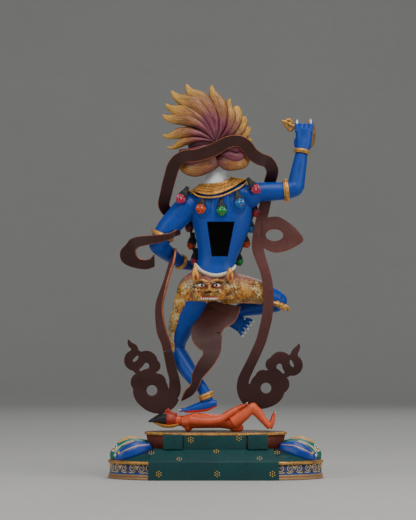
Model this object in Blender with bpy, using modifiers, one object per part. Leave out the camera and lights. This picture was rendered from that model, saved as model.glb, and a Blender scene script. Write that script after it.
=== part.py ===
"""A painted metal statue: a lion-faced figure dances on a trampled body, on a two-tiered oval plinth.

Metres. +X is the figure's own right side, +Y its front and +Z up, and the origin is under the middle of
the plinth. Poses are in pose units, thousandths of a metre at the modelled height of the figure.
"""

import math

import bmesh
import bpy
from mathutils import Euler, Matrix, Vector
from mathutils.geometry import delaunay_2d_cdt

# Driving dimensions
FIGURE_HEIGHT = 0.3475
PLINTH_WIDTH = 0.216
PLINTH_DEPTH = 0.110
LOWER_TIER_HEIGHT = 0.0185
SHOULDER_RISE = 0.0115
UPPER_TIER_HEIGHT = 0.0165
UPPER_TIER_WIDTH = 0.1420
UPPER_TIER_DEPTH = 0.0780
UPPER_TIER_FLARE = 0.0040
RIM_HEIGHT = 0.0030
FOOT_MOULDING_HEIGHT = 0.0050
BAND_RECESS = 0.0025
BACK_PANEL_WIDTH = 0.1287
BACK_PANEL_CENTRE = -0.0025
BACK_PANEL_STANDS_OUT = 0.0015
BACK_CUT_SHARE = 0.82
BACK_BLOCK_WIDTH = 0.0195
BACK_BLOCK_CENTRE = 0.0420
BACK_BLOCK_STANDS_OUT = 0.0025
PETAL_COUNT = 15
PETAL_FIRST_ANGLE = -19.0
PETAL_WIDTH = 0.0190
PETAL_THICKNESS = 0.0260
SCARF_THICKNESS = 0.0024
CAVITY_TOP_WIDTH = 0.0275
CAVITY_BOTTOM_WIDTH = 0.0160
CAVITY_HEIGHT = 0.0345
CAVITY_DEPTH = 0.0230
CUP_RADIUS = FIGURE_HEIGHT * 0.0302
CUP_WALL = 0.0015
HANDLE_RADIUS = 0.0019
CLEARANCE = 0.00035

# One pose unit, and the pose's own height of the plinth top
MODELLED_FIGURE_UNITS = 347.5
UNIT = FIGURE_HEIGHT / MODELLED_FIGURE_UNITS
POSE_FLOOR = 46.5
PLINTH_HEIGHT = LOWER_TIER_HEIGHT + SHOULDER_RISE + UPPER_TIER_HEIGHT

# Mesh fineness
VOXEL = 1.15 * UNIT
FINE_VOXEL = 0.75 * UNIT

PAINT = {
    "blue": ((0.010, 0.075, 0.300), 0.55, 0.0),
    "gold": ((0.560, 0.330, 0.085), 0.35, 0.8),
    "flame": ((0.450, 0.200, 0.075), 0.60, 0.1),
    "brown": ((0.060, 0.018, 0.014), 0.60, 0.0),
    "coral": ((0.620, 0.090, 0.035), 0.50, 0.0),
    "green": ((0.004, 0.065, 0.068), 0.50, 0.0),
    "bone": ((0.700, 0.660, 0.580), 0.45, 0.0),
}


def spot(x, y, z):
    """A point of the pose, in metres above the floor."""
    return Vector((x * UNIT, y * UNIT, PLINTH_HEIGHT + (z - POSE_FLOOR) * UNIT))


def clear_scene():
    for obj in list(bpy.data.objects):
        bpy.data.objects.remove(obj)


def collection_named(name):
    made = bpy.data.collections.new(name)
    bpy.context.scene.collection.children.link(made)
    return made


def paint(name):
    found = bpy.data.materials.get(name)
    if found:
        return found
    colour, roughness, metallic = PAINT[name]
    made = bpy.data.materials.new(name)
    made.use_nodes = True
    shader = made.node_tree.nodes["Principled BSDF"]
    shader.inputs["Base Color"].default_value = (*colour, 1.0)
    shader.inputs["Roughness"].default_value = roughness
    shader.inputs["Metallic"].default_value = metallic
    made.diffuse_color = (*colour, 1.0)
    return made


def object_from(mesh, name, colour, collection):
    """A new object for a bmesh, which is freed."""
    data = bpy.data.meshes.new(name)
    bmesh.ops.recalc_face_normals(mesh, faces=mesh.faces)
    mesh.to_mesh(data)
    mesh.free()
    obj = bpy.data.objects.new(name, data)
    obj.data.materials.append(paint(colour))
    collection.objects.link(obj)
    return obj


def apply_modifiers(obj):
    """Gives the object its evaluated mesh and removes its modifiers."""
    bpy.context.view_layer.update()
    seen = obj.evaluated_get(bpy.context.evaluated_depsgraph_get())
    obj.data = bpy.data.meshes.new_from_object(seen)
    obj.modifiers.clear()


def as_cutter(obj):
    obj.hide_render = True
    obj.display_type = "WIRE"
    for home in list(obj.users_collection):
        home.objects.unlink(obj)
    CUTTERS.objects.link(obj)
    return obj


def thin_out(obj, triangles):
    """Brings a mesh down to about a number of triangles."""
    obj.modifiers.new("even", "TRIANGULATE")
    apply_modifiers(obj)
    thin = obj.modifiers.new("thin", "DECIMATE")
    thin.ratio = min(1.0, triangles / len(obj.data.polygons))
    thin.use_collapse_triangulate = True
    apply_modifiers(obj)


def combine(target, other, operation):
    step = target.modifiers.new(operation.lower(), "BOOLEAN")
    step.operation = operation
    step.object = other
    step.solver = "EXACT"
    step.use_self = True
    apply_modifiers(target)


def keep_largest_body(obj):
    """Drops the slivers that a cut leaves beside the main body."""
    mesh = bmesh.new()
    mesh.from_mesh(obj.data)
    bmesh.ops.dissolve_degenerate(mesh, dist=1e-6, edges=mesh.edges)
    bmesh.ops.triangulate(mesh, faces=mesh.faces)
    bmesh.ops.delete(mesh, geom=[e for e in mesh.edges if not e.link_faces], context="EDGES")
    waiting = set(mesh.verts)
    islands = []
    while waiting:
        front = [waiting.pop()]
        island = list(front)
        while front:
            vert = front.pop()
            for edge in vert.link_edges:
                other = edge.other_vert(vert)
                if other in waiting:
                    waiting.remove(other)
                    front.append(other)
                    island.append(other)
        islands.append(island)
    islands.sort(key=len)
    for island in islands[:-1]:
        bmesh.ops.delete(mesh, geom=island, context="VERTS")
    mesh.to_mesh(obj.data)
    mesh.free()


def swollen(neighbour):
    """A copy of a node that is larger by the clearance all round, made once and kept among the cutters."""
    name = f"{neighbour.name}_room"
    if name in bpy.data.objects:
        return bpy.data.objects[name]
    cutter = as_cutter(bpy.data.objects.new(name, neighbour.data.copy()))
    modelled = neighbour.name in ("dancing_figure", "trampled_body")
    swell = cutter.modifiers.new("swell", "DISPLACE")
    swell.strength = CLEARANCE * (2.6 if modelled else 1.0)
    swell.mid_level = 0.0
    if modelled:
        fuse = cutter.modifiers.new("fuse", "REMESH")
        fuse.mode = "VOXEL"
        fuse.voxel_size = VOXEL
        apply_modifiers(cutter)
        thin_out(cutter, len(neighbour.data.polygons))
    return cutter


def make_room(target, neighbour):
    """Cuts the target back from its neighbour, so that the two don't touch."""
    combine(target, swollen(neighbour), "DIFFERENCE")
    keep_largest_body(target)


def smooth_path(points, steps, closed=False):
    """Catmull-Rom points through rows of numbers, with the same number of steps in each span."""
    count = len(points)
    spans = count if closed else count - 1
    path = []
    for i in range(spans):
        rows = []
        for k in (-1, 0, 1, 2):
            at = i + k
            rows.append(points[at % count] if closed else points[min(max(at, 0), count - 1)])
        for s in range(steps):
            t = s / steps
            path.append([
                0.5 * (2 * b + (c - a) * t + (2 * a - 5 * b + 4 * c - d) * t**2 + (3 * b - a - 3 * c + d) * t**3)
                for a, b, c, d in zip(*rows)
            ])
    if not closed:
        path.append(list(points[-1]))
    return path


class Clay:
    """Overlapping closed lumps, which a voxel remesh fuses into one skin."""

    def __init__(self):
        self.mesh = bmesh.new()

    def ball(self, centre, radii, turn=(0, 0, 0), detail=12):
        place = Matrix.Translation(spot(*centre)) @ Euler([math.radians(a) for a in turn]).to_matrix().to_4x4()
        size = Matrix.Diagonal([r * UNIT for r in radii]).to_4x4()
        bmesh.ops.create_uvsphere(self.mesh, u_segments=detail, v_segments=detail - 3, radius=1.0,
                                  matrix=place @ size)

    def limb(self, stations, across=(1, 0, 0), sides=12, steps=4, closed=False):
        """A tapering limb through stations of x, y, z and the half sizes across and through it."""
        stations = [row if len(row) == 5 else (*row, row[3]) for row in stations]
        path = smooth_path(stations, steps, closed)
        places = [spot(*row[:3]) for row in path]
        rings = []
        for i, row in enumerate(path):
            before = places[i - 1] if closed or i else places[0]
            after = places[(i + 1) % len(places)] if closed or i + 1 < len(places) else places[-1]
            along = (after - before).normalized()
            wide = Vector(across)
            wide = (wide - along * wide.dot(along)).normalized()
            deep = along.cross(wide)
            ring = []
            for k in range(sides):
                angle = 2 * math.pi * k / sides
                reach = wide * math.cos(angle) * row[3] + deep * math.sin(angle) * row[4]
                ring.append(self.mesh.verts.new(places[i] + reach * UNIT))
            rings.append(ring)
        pairs = list(zip(rings, rings[1:]))
        if closed:
            pairs.append((rings[-1], rings[0]))
        for low, high in pairs:
            for k in range(sides):
                self.mesh.faces.new((low[k], low[(k + 1) % sides], high[(k + 1) % sides], high[k]))
        if not closed:
            self.mesh.faces.new(list(reversed(rings[0])))
            self.mesh.faces.new(rings[-1])

    def cast(self, name, colour, triangles, voxel=VOXEL, rounds=4):
        """The fused and smoothed lumps as one object, brought down to a number of triangles."""
        obj = object_from(self.mesh, name, colour, STATUE)
        fuse = obj.modifiers.new("fuse", "REMESH")
        fuse.mode = "VOXEL"
        fuse.voxel_size = voxel
        soften = obj.modifiers.new("soften", "SMOOTH")
        soften.factor = 0.5
        soften.iterations = rounds
        apply_modifiers(obj)
        keep_largest_body(obj)
        thin_out(obj, triangles)
        obj.data.shade_smooth()
        return obj


# The plinth
def oval_ring(mesh, width, depth, back_cut, height, sides=36):
    """A ring of an oval cut flat at the back; the oval's middle is at the origin."""
    ring = []
    for k in range(sides):
        angle = 2 * math.pi * (k + 0.5) / sides
        y = max(depth / 2 * math.sin(angle), -back_cut)
        ring.append(mesh.verts.new((width / 2 * math.cos(angle), y, height)))
    return ring


def stacked_ovals(name, profile, colour, centre_y):
    """A closed body through ovals given as width, depth, back cut and height, from the bottom up."""
    mesh = bmesh.new()
    rings = [oval_ring(mesh, *row) for row in profile]
    for low, high in zip(rings, rings[1:]):
        for k in range(len(low)):
            after = (k + 1) % len(low)
            mesh.faces.new((low[k], low[after], high[after], high[k]))
    mesh.faces.new(list(reversed(rings[0])))
    mesh.faces.new(rings[-1])
    bmesh.ops.translate(mesh, vec=(0, centre_y, 0), verts=mesh.verts)
    return object_from(mesh, name, colour, STATUE)


def block(name, low, high):
    """A box between two corners, to be joined or cut."""
    mesh = bmesh.new()
    middle = (Vector(low) + Vector(high)) / 2
    size = Vector(high) - Vector(low)
    bmesh.ops.create_cube(mesh, size=1.0, matrix=Matrix.Translation(middle) @ Matrix.Diagonal(size).to_4x4())
    return as_cutter(object_from(mesh, name, "green", CUTTERS))


def even_angles(half_width, half_depth, first, last, count, steps=720):
    """Angles on an oval that part it into equal lengths."""
    angles = [math.radians(first + (last - first) * k / steps) for k in range(steps + 1)]
    lengths = [0.0]
    for a, b in zip(angles, angles[1:]):
        step = math.hypot(half_width * (math.cos(b) - math.cos(a)), half_depth * (math.sin(b) - math.sin(a)))
        lengths.append(lengths[-1] + step)
    wanted = [lengths[-1] * k / (count - 1) for k in range(count)]
    return [angles[min(range(steps + 1), key=lambda i: abs(lengths[i] - w))] for w in wanted]


def lotus_petals(centre_y, shoulder_out, shoulder_in):
    """Plump petals half sunk in the shoulder, round the front from one back corner to the other."""
    mesh = bmesh.new()
    for angle in even_angles(*shoulder_out, PETAL_FIRST_ANGLE, 180 - PETAL_FIRST_ANGLE, PETAL_COUNT):
        outer = Vector((shoulder_out[0] * math.cos(angle), shoulder_out[1] * math.sin(angle), LOWER_TIER_HEIGHT))
        inner = Vector((shoulder_in[0] * math.cos(angle), shoulder_in[1] * math.sin(angle), 0))
        inner.z = LOWER_TIER_HEIGHT + SHOULDER_RISE
        along = (outer - inner).normalized()
        side = Vector((0, 0, 1)).cross(along).normalized()
        up = along.cross(side)
        middle = outer.lerp(inner, 0.51)
        turn = Matrix((along, side, up)).transposed().to_4x4()
        reach = (outer - inner).length * 0.49
        size = Matrix.Diagonal((reach, PETAL_WIDTH / 2, PETAL_THICKNESS / 2, 1.0))
        place = Matrix.Translation(middle + Vector((0, centre_y, 0)))
        bmesh.ops.create_uvsphere(mesh, u_segments=6, v_segments=5, radius=1.0, matrix=place @ turn @ size)
    return as_cutter(object_from(mesh, "petals", "green", CUTTERS))


def build_plinth():
    lower = (PLINTH_WIDTH, PLINTH_DEPTH / (1 + BACK_CUT_SHARE) * 2)
    back_cut = lower[1] / 2 * BACK_CUT_SHARE - BACK_PANEL_STANDS_OUT
    centre_y = PLINTH_DEPTH / 2 - lower[1] / 2
    inset = 2 * BAND_RECESS
    shoulder_top = LOWER_TIER_HEIGHT + SHOULDER_RISE
    upper = (UPPER_TIER_WIDTH, UPPER_TIER_DEPTH / (1 + BACK_CUT_SHARE) * 2)
    upper_cut = upper[1] / 2 * BACK_CUT_SHARE - BACK_BLOCK_STANDS_OUT
    flare = 2 * UPPER_TIER_FLARE
    foot = FOOT_MOULDING_HEIGHT
    narrow = (lower[0] - inset, lower[1] - inset, back_cut - BAND_RECESS)
    upper_low = (upper[0] - flare, upper[1] - flare, upper_cut - UPPER_TIER_FLARE / 2)
    profile = [
        (*lower, back_cut, 0.0),
        (*lower, back_cut, foot),
        (*narrow, foot + BAND_RECESS / 2),
        (*narrow, LOWER_TIER_HEIGHT - RIM_HEIGHT - BAND_RECESS / 2),
        (*lower, back_cut, LOWER_TIER_HEIGHT - RIM_HEIGHT),
        (*lower, back_cut, LOWER_TIER_HEIGHT),
        (*upper_low, shoulder_top),
        (upper[0] - inset / 2, upper[1] - inset / 2, upper_cut - BAND_RECESS / 2, PLINTH_HEIGHT - RIM_HEIGHT),
        (*upper, upper_cut, PLINTH_HEIGHT - RIM_HEIGHT * 0.7),
        (*upper, upper_cut, PLINTH_HEIGHT),
    ]
    plinth = stacked_ovals("plinth", profile, "green", centre_y)
    back_y = -PLINTH_DEPTH / 2
    left, right = (BACK_PANEL_CENTRE + side * BACK_PANEL_WIDTH / 2 for side in (-1, 1))
    panel = block("back_panel", (left, back_y, 0.0), (right, back_y + 0.020, LOWER_TIER_HEIGHT))
    combine(plinth, panel, "UNION")
    block_back = centre_y - upper_cut - BACK_BLOCK_STANDS_OUT
    for side in (-1, 1):
        middle = side * BACK_BLOCK_CENTRE
        low = (middle - BACK_BLOCK_WIDTH / 2, block_back, shoulder_top - 0.004)
        high = (middle + BACK_BLOCK_WIDTH / 2, block_back + 0.016, PLINTH_HEIGHT - RIM_HEIGHT / 2)
        combine(plinth, block(f"back_block_{side}", low, high), "UNION")
    out = (lower[0] / 2, lower[1] / 2)
    inn = (upper_low[0] / 2, upper_low[1] / 2)
    combine(plinth, lotus_petals(centre_y, out, inn), "UNION")
    return plinth


# The trampled body
def build_corpse():
    clay = Clay()
    clay.limb([(-34, -5, 55.5, 11, 5.5), (-26, -5, 56.5, 14.5, 7.5), (-17, -5, 57.2, 14.5, 8),
               (-6, -5, 56.8, 12, 7.6), (6, -5, 56.4, 11, 7.6), (18, -5, 56, 13.5, 8.5), (25, -5, 54, 11, 7)],
              across=(0, 1, 0))
    clay.ball((-46, -5, 58), (10.5, 7.5, 7.5))
    clay.ball((-52, -5, 57.5), (8, 7, 6))
    clay.limb([(-54, -5, 59, 6, 6), (-61, -5, 57, 4.5, 4), (-67, -5, 55.5, 1.5, 1.5)], across=(0, 1, 0))
    clay.limb([(-40, -5, 57, 5, 5), (-30, -5, 57, 5.5, 5.5)], across=(0, 1, 0))
    clay.limb([(-51, -5, 63, 2, 2), (-49.5, -5, 66.5, 1.5, 1.5)], across=(0, 1, 0), steps=2)
    clay.ball((-41, -5, 63), (3, 3, 2.5))
    for near, knee in ((-1, (37, -14.5, 70.5)), (1, (36, 6, 70))):
        y = knee[1]
        clay.limb([(17, -5 + near * 8.5, 55, 7.5), (27, y, 62, 6), knee + (4.8,)], across=(0, 1, 0))
        clay.limb([knee + (4.8,), (45, y, 61, 4.4), (54, y + near, 50.5, 3.2)], across=(0, 1, 0))
        clay.limb([(54, y + near, 50, 3.6, 3), (56.5, y + near, 57, 3.8, 2.4), (58.5, y + near, 66, 3.6, 1.7)],
                  across=(0, 1, 0))
        hand = (24, y * 0.8 - 3, 70)
        clay.limb([(-25, -5 + near * 12, 59, 4.5), (-8, -5 + near * 15, 57, 3.8), (6, -5 + near * 14, 59, 3.4),
                   hand + (3.0,)], across=(0, 1, 0))
        clay.limb([hand + (3.6, 2.2), (31, y, 74.5, 3.4, 1.5)], across=(0, 1, 0), steps=2)
    clay.ball((-27, -5, 50), (5, 9, 5))
    clay.ball((21, -5, 50), (7, 9, 5))
    corpse = clay.cast("trampled_body", "coral", 780)
    floor = spot(0, 0, POSE_FLOOR).z + CLEARANCE
    reach = 0.2
    combine(corpse, block("plinth_top", (-reach, -reach, floor - reach), (reach, reach, floor)), "DIFFERENCE")
    keep_largest_body(corpse)
    return corpse


# The dancing figure
TORSO = [(-3, 0, 178, 24, 18), (-3, 0, 192, 26, 19), (-0.5, 0, 205, 21.5, 16), (1, 0, 217, 19, 14),
         (3.5, 0, 234, 23, 15.5), (5.5, 0, 254, 29, 17.5), (5, 0, 270, 31, 17), (3, 0, 282, 26, 14),
         (1, 0, 290, 15, 11.5)]
BACK_HEADS = [(-35, -12, 279), (-15, -16, 269), (5.7, -19.5, 266.5), (24, -16.5, 274), (39, -12, 288)]
FRONT_HEADS = [(-33, 12, 266), (-26, 17, 251), (-24, 19, 233.5), (-20.5, 21, 218), (-8, 23, 204), (4, 24, 200),
               (15, 23, 205), (23, 20, 217), (30, 18, 235), (35, 15, 250), (39, 11, 266)]


def shape_torso(clay):
    clay.limb(TORSO, sides=20)
    clay.ball((-27, 0, 272), (13.5, 12, 12))
    clay.ball((33, 0, 281), (13, 12, 11.5))
    for x, z in ((-9, 257), (19, 259)):
        clay.ball((x, 15, z), (10.5, 9.5, 9.5))
    clay.ball((0, 7, 207), (17, 13, 13))


def shape_head(clay):
    clay.limb([(1, 0, 286, 13), (1, 0, 295.5, 11.5), (1, 0, 303, 8.8), (1.8, 2, 311, 9.5), (2, 3, 317, 12.5)],
              sides=14)
    clay.ball((2, 6, 328), (16, 17, 17))
    clay.ball((2, 24, 323), (8.5, 10, 6))
    clay.ball((2, 20, 313.5), (7.5, 9, 3.5), (14, 0, 0))
    clay.ball((2, 31, 326), (4, 3.5, 2.8))
    for side in (-1, 1):
        clay.ball((2 + side * 7.5, 20, 331), (4.5, 4, 3.5))
        clay.ball((2 + side * 10, 17, 320), (6, 7, 7))
        clay.ball((2 + side * 16, 10, 335), (4.6, 3.6, 4.4), (0, side * 35, 0))
    for k in range(5):
        angle = math.radians(44 + 23 * k)
        clay.ball((2 + 17 * math.cos(angle), 7 + 14.5 * math.sin(angle), 345), (3.9, 3.4, 5))
    clay.limb([(-11, 14, 340, 2.2), (-6, 19, 340, 2.2), (2, 21, 340, 2.2), (10, 19, 340, 2.2),
               (15, 14, 340, 2.2)], across=(0, 0, 1), sides=8)


def shape_arms(clay):
    clay.limb([(-26, 0, 273, 12.5), (-36, 0, 262.5, 12), (-46.5, -1, 251, 11), (-53.5, 0.5, 241, 10),
               (-57.5, 2, 233, 9.2)], across=(0, 1, 0))
    clay.limb([(-57.5, 2, 232.5, 9.2), (-52, 9, 227.5, 8.6), (-45, 17, 222.5, 7.8), (-38, 25, 217.5, 6.6),
               (-31, 32, 213.5, 5.4), (-21, 38, 212.5, 5.2)], across=(0, 1, 0), steps=3)
    clay.ball((-12, 42, 215.5), (9.5, 7.5, 4.5))
    for k in range(4):
        clay.limb([(-10 + 3.6 * k, 47, 215.5, 2), (-10 + 4 * k, 52 - 0.5 * k, 218.5, 1.9),
                   (-9 + 4 * k, 53 - k, 224.5, 1.5)], sides=7, steps=3)
    clay.limb([(-20, 43, 215.5, 2.3), (-22, 47, 221.5, 2), (-20, 49, 226.5, 1.7)], sides=7, steps=3)
    clay.limb([(32, 0, 281, 12.5), (42, 0.5, 285.3, 10.2), (56, 1.5, 286.2, 9.6), (70, 2, 287, 9),
               (77, 2.4, 289, 8.8)], across=(0, 1, 0))
    clay.ball((78.8, 2.5, 289.8), (8.9, 8.9, 8.9))
    clay.limb([(80, 2.8, 290, 8.8), (82.4, 5, 304, 7.8), (84.3, 6, 314, 7.1), (86, 7.4, 324, 6.3)])
    clay.limb([(86.5, 8, 325, 6.2, 5.5), (88.2, 10, 333, 7.8, 5.9), (88.7, 12, 341, 8.4, 6),
               (88.7, 12.5, 351, 8.4, 5.6)])
    clay.ball((88.7, 17, 345), (8.3, 7, 7.5))
    for k, height in enumerate((358, 354, 354, 358)):
        x = 81.7 + 4.5 * k
        clay.limb([(x, 12, 346, 2.4), (x, 13, 352, 2.4), (x, 15, height, 1.9)], sides=8, steps=3)
    clay.limb([(82.5, 13, 332, 2.6), (80.8, 18, 336, 2.2), (84, 22.5, 342, 2)], sides=8, steps=3)


def shape_legs(clay):
    clay.limb([(-19, 2, 188, 16.5), (-26, 6, 171, 14), (-31, 12, 156.5, 11.8), (-35, 17, 146, 10.6),
               (-38.7, 20, 137, 9.7), (-41, 22, 127, 9.6)])
    clay.limb([(-41, 21, 128, 9.2), (-33.5, 14, 116, 9.3), (-26.5, 6, 105.5, 8.3), (-21, 0, 98, 7.2),
               (-13.5, -6, 89.5, 5.7), (-9.8, -7.3, 82, 5.7), (-8, -7.5, 77, 5.4)])
    clay.limb([(1, -7, 74.3, 4, 3.6), (-3, -7, 74, 5, 4.6), (-10, -7, 72.2, 5.8, 5.8),
               (-18, -6.8, 70.2, 6.2, 4.8), (-26, -6.4, 68.4, 6.6, 3.4), (-31, -6, 67.3, 6.6, 2.4)],
              across=(0, 1, 0))
    for k in range(5):
        y = -11.4 + 2.7 * k
        clay.limb([(-29, y, 67.4, 1.9), (-33, y, 67.3, 1.7), (-36.5 + 0.8 * k, y, 67.2, 1.4)], sides=7, steps=2)
    clay.limb([(10, 3, 190, 15), (34, 12, 187, 12), (50, 18, 183, 10.3), (62, 23, 178, 9.4)], across=(0, 1, 0))
    clay.ball((63.5, 24, 176.5), (8.6, 9, 9.2))
    clay.limb([(63, 25, 175, 9), (48, 30, 171.5, 8.4), (28, 32, 168, 7.4), (13, 31, 162, 6)], across=(0, 1, 0))
    sole = (0.35, 0.0, 0.94)
    clay.limb([(8, 30, 160.5, 6, 5.5), (16, 30, 156.5, 6.6, 5), (26, 29, 153, 8, 3.2)], across=sole)
    for k in range(5):
        clay.limb([(23 + 1.7 * k, 29, 148.5 + 2.6 * k, 1.9), (24.5 + 2.6 * k, 29, 144.5 + 3.5 * k, 1.5)],
                  across=sole, sides=7, steps=2)


def shape_hide(clay):
    clay.ball((-3, -1, 190), (28.5, 21.5, 13.5), detail=16)
    clay.limb([(9, 4, 190, 16.2), (32, 11.5, 187.5, 13.4), (47, 17, 184, 11.2)], across=(0, 1, 0))
    clay.limb([(-17, 3, 189, 17.6), (-25, 6, 174, 15.2)])
    clay.limb([(-33, 4, 187, 4.5, 3.5), (-36.5, 6, 176, 6.3, 3.2), (-40, 8, 165, 5.2, 3),
               (-43.2, 10.5, 152.5, 4.6, 2.8),
               (-44.2, 13, 143.5, 3, 2.4), (-43, 15, 134, 2.2, 2), (-42, 16.5, 124, 2, 1.8)])
    clay.ball((-6.5, -20, 185), (15, 6.5, 8.5))
    clay.ball((-6.5, -19.5, 193), (12, 5, 4))
    clay.ball((-6.5, -25.5, 187.5), (4, 3, 3))
    for x in (-19.5, 14.5):
        clay.limb([(x, -17, 197, 3.6, 2), (x, -17.5, 203, 3.2, 2), (x + 0.5, -16.5, 209.5, 1, 1)], sides=8)
    clay.ball((65.5, 14, 172), (7.5, 4.2, 4.8))
    clay.limb([(-19.3, -9, 211.8, 1.8), (-12.8, -13.5, 205.4, 1.9), (-1.4, -17, 201.8, 2),
               (10, -15, 203.9, 1.9), (18.6, -9, 209.6, 1.8)], across=(0, 1, 0), sides=8)


def shape_jewels(clay):
    clay.limb([(4, -13.5, 289, 4.6, 1.8), (-10, -12, 288, 4.6, 1.8), (-22, 0, 288.5, 4.6, 1.8),
               (-14, 12, 284, 5, 1.8), (2, 17, 279, 5, 1.8), (17, 13, 287, 5, 1.8), (26, 0, 298, 4.6, 1.8),
               (16, -11, 294.5, 4.6, 1.8)],
              across=(0, 0, 1), sides=8, closed=True)
    for centre, radius, normal in (
        ((70.5, 2, 287), 10.4, (1, 0, 0.1)),
        ((86.3, 7.8, 326.3), 7.2, (0.15, 0.15, 1)),
        ((-53.3, 0.3, 242), 10.9, (-0.43, 0, -0.9)),
        ((-35, 28, 215.8), 7.0, (0.66, 0.66, -0.38)),
        ((-9.9, -7, 82), 7.2, (0.38, 0, -0.93)),
    ):
        place = Matrix.Translation(spot(*centre)) @ Vector(normal).to_track_quat("Z", "Y").to_matrix().to_4x4()
        ring = [place @ (Vector((math.cos(a), math.sin(a), 0)) * radius * UNIT)
                for a in (2 * math.pi * k / 10 for k in range(10))]
        rows = [(p.x / UNIT, p.y / UNIT, (p.z - PLINTH_HEIGHT) / UNIT + POSE_FLOOR, 1.7) for p in ring]
        clay.limb(rows, across=normal, sides=8, steps=2, closed=True)


def shape_garland(clay):
    for x, y, z in BACK_HEADS:
        up = 9.5
        lean = -x * 0.12
        clay.ball((x, y, z), (4.9, 4.2, 5.8), detail=9)
        clay.limb([(x, y, z + 3, 3.4, 2.6), (x + lean, y + 3.5, z + up, 1.6, 1.6)], sides=7, steps=2)
    for x, y, z in FRONT_HEADS:
        clay.ball((x, y, z), (4.9, 4.6, 5.8), detail=9)
    cord = [(-30, 0, 284), *FRONT_HEADS, (36, 0, 293)]
    clay.limb([(x, y - 3, z + 4, 2.2) for x, y, z in cord], across=(0, 1, 0), sides=7, steps=3)


def cavity_cutter():
    """A tapered box that opens the hollow of the chest from the back."""
    mesh = bmesh.new()
    centre = spot(5.0, 0, 255.5)
    mouth = -0.030
    bottom = centre.z - CAVITY_HEIGHT
    lean = -0.0010
    end = -0.0175 * UNIT / 0.001 + CAVITY_DEPTH
    corners = []
    for y in (mouth, end):
        for z, width, shift in ((bottom, CAVITY_BOTTOM_WIDTH, lean), (centre.z, CAVITY_TOP_WIDTH, 0.0)):
            for side in (-1, 1):
                corners.append(mesh.verts.new((centre.x + shift + side * width / 2, y, z)))
    for face in ((0, 1, 3, 2), (4, 6, 7, 5), (0, 4, 5, 1), (2, 3, 7, 6), (0, 2, 6, 4), (1, 5, 7, 3)):
        mesh.faces.new([corners[k] for k in face])
    return as_cutter(object_from(mesh, "cavity", "blue", CUTTERS))


def build_figure():
    clay = Clay()
    for shape in (shape_torso, shape_head, shape_arms, shape_legs, shape_hide, shape_jewels, shape_garland):
        shape(clay)
    figure = clay.cast("dancing_figure", "blue", 3000)
    combine(figure, cavity_cutter(), "DIFFERENCE")
    return figure


# The mane
MANE_ROOT = (-1.5, 333)
BACK_TIPS = [(-48.5, 330), (-53, 342.5), (-53, 362.5), (-50, 373.5), (-44, 386.5), (-29, 393.5), (-3.5, 392.2),
             (14.7, 378.5)]
RIGHT_TIPS = [(22, 371), (30, 360), (36.5, 344)]
LOCK_PROFILE = [(0.0, 5.0, 4.5), (0.22, 6.5, 5.5), (0.45, 7.6, 5.2), (0.62, 7.2, 4.6), (0.72, 5.8, 4.0),
                (0.84, 3.8, 3.2), (0.94, 2.6, 2.4), (1.0, 1.2, 1.3)]


def lock_stations(tip, depth, bulge, width=1.0):
    """Stations of one flame-shaped lock that leaves the root straight and swings over to its tip."""
    root = Vector(MANE_ROOT)
    reach = Vector(tip) - root
    side = Vector((-reach.y, reach.x)).normalized() * -1
    rows = []
    for share, half, thick in LOCK_PROFILE:
        swing = bulge * reach.length * math.sin(math.pi * share) * (1 - 0.55 * share)
        at = root + reach * share + side * swing
        rows.append((at.x, depth + 9 * share * share, at.y, half * width, thick))
    return rows


def build_mane():
    clay = Clay()
    clay.ball((0, -3, 331), (25, 17.5, 22), detail=16)
    clay.ball((-21, -3, 311), (15.5, 12, 10.3), (0, -6, 0), detail=14)
    clay.ball((18.5, -3, 315.8), (15.5, 12, 9.5), (0, -8, 0), detail=14)
    for side in (-1, 1):
        clay.ball((side * 25, -2, 326), (11.5, 12, 13), detail=14)
    for k, tip in enumerate(BACK_TIPS):
        clay.limb(lock_stations(tip, -13 + (k % 2), 0.19), across=(1, 0, 0.3), sides=8, steps=3)
    for k, tip in enumerate(RIGHT_TIPS):
        clay.limb(lock_stations(tip, -7 + 2 * k, 0.24, 0.95), across=(1, 0, 0.3), sides=8, steps=3)
    front_tips = [(-36, 336), (-38, 352), (-32, 368), (-18, 378), (-2, 379), (12, 371), (26, 356), (31, 340)]
    for tip in front_tips:
        clay.limb(lock_stations(tip, 3, 0.16), across=(1, 0, 0.3), sides=8, steps=3)
    return clay.cast("flame_mane", "flame", 850)


# The scarf
def ribbon(name, stations, colour="brown", thickness=SCARF_THICKNESS, across=None, steps=2):
    """A metal band through stations of x, y, z, width and turn; its face turns from the front round to +X."""
    mesh = bmesh.new()
    path = smooth_path(stations, steps)
    places = [spot(*row[:3]) for row in path]
    rings = []
    for i, row in enumerate(path):
        along = (places[min(i + 1, len(places) - 1)] - places[max(i - 1, 0)]).normalized()
        face = Vector((math.sin(math.radians(row[4])), math.cos(math.radians(row[4])), 0))
        wide = Vector(across) if across else along.cross(face)
        wide = (wide - along * wide.dot(along)).normalized()
        through = along.cross(wide).normalized() * thickness / 2
        half = wide * row[3] * UNIT / 2
        ring = [places[i] + half + through, places[i] - half + through,
                places[i] - half - through, places[i] + half - through]
        rings.append([mesh.verts.new(p) for p in ring])
    for low, high in zip(rings, rings[1:]):
        for k in range(4):
            mesh.faces.new((low[k], low[(k + 1) % 4], high[(k + 1) % 4], high[k]))
    mesh.faces.new(list(reversed(rings[0])))
    mesh.faces.new(rings[-1])
    return object_from(mesh, name, colour, STATUE)


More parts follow.
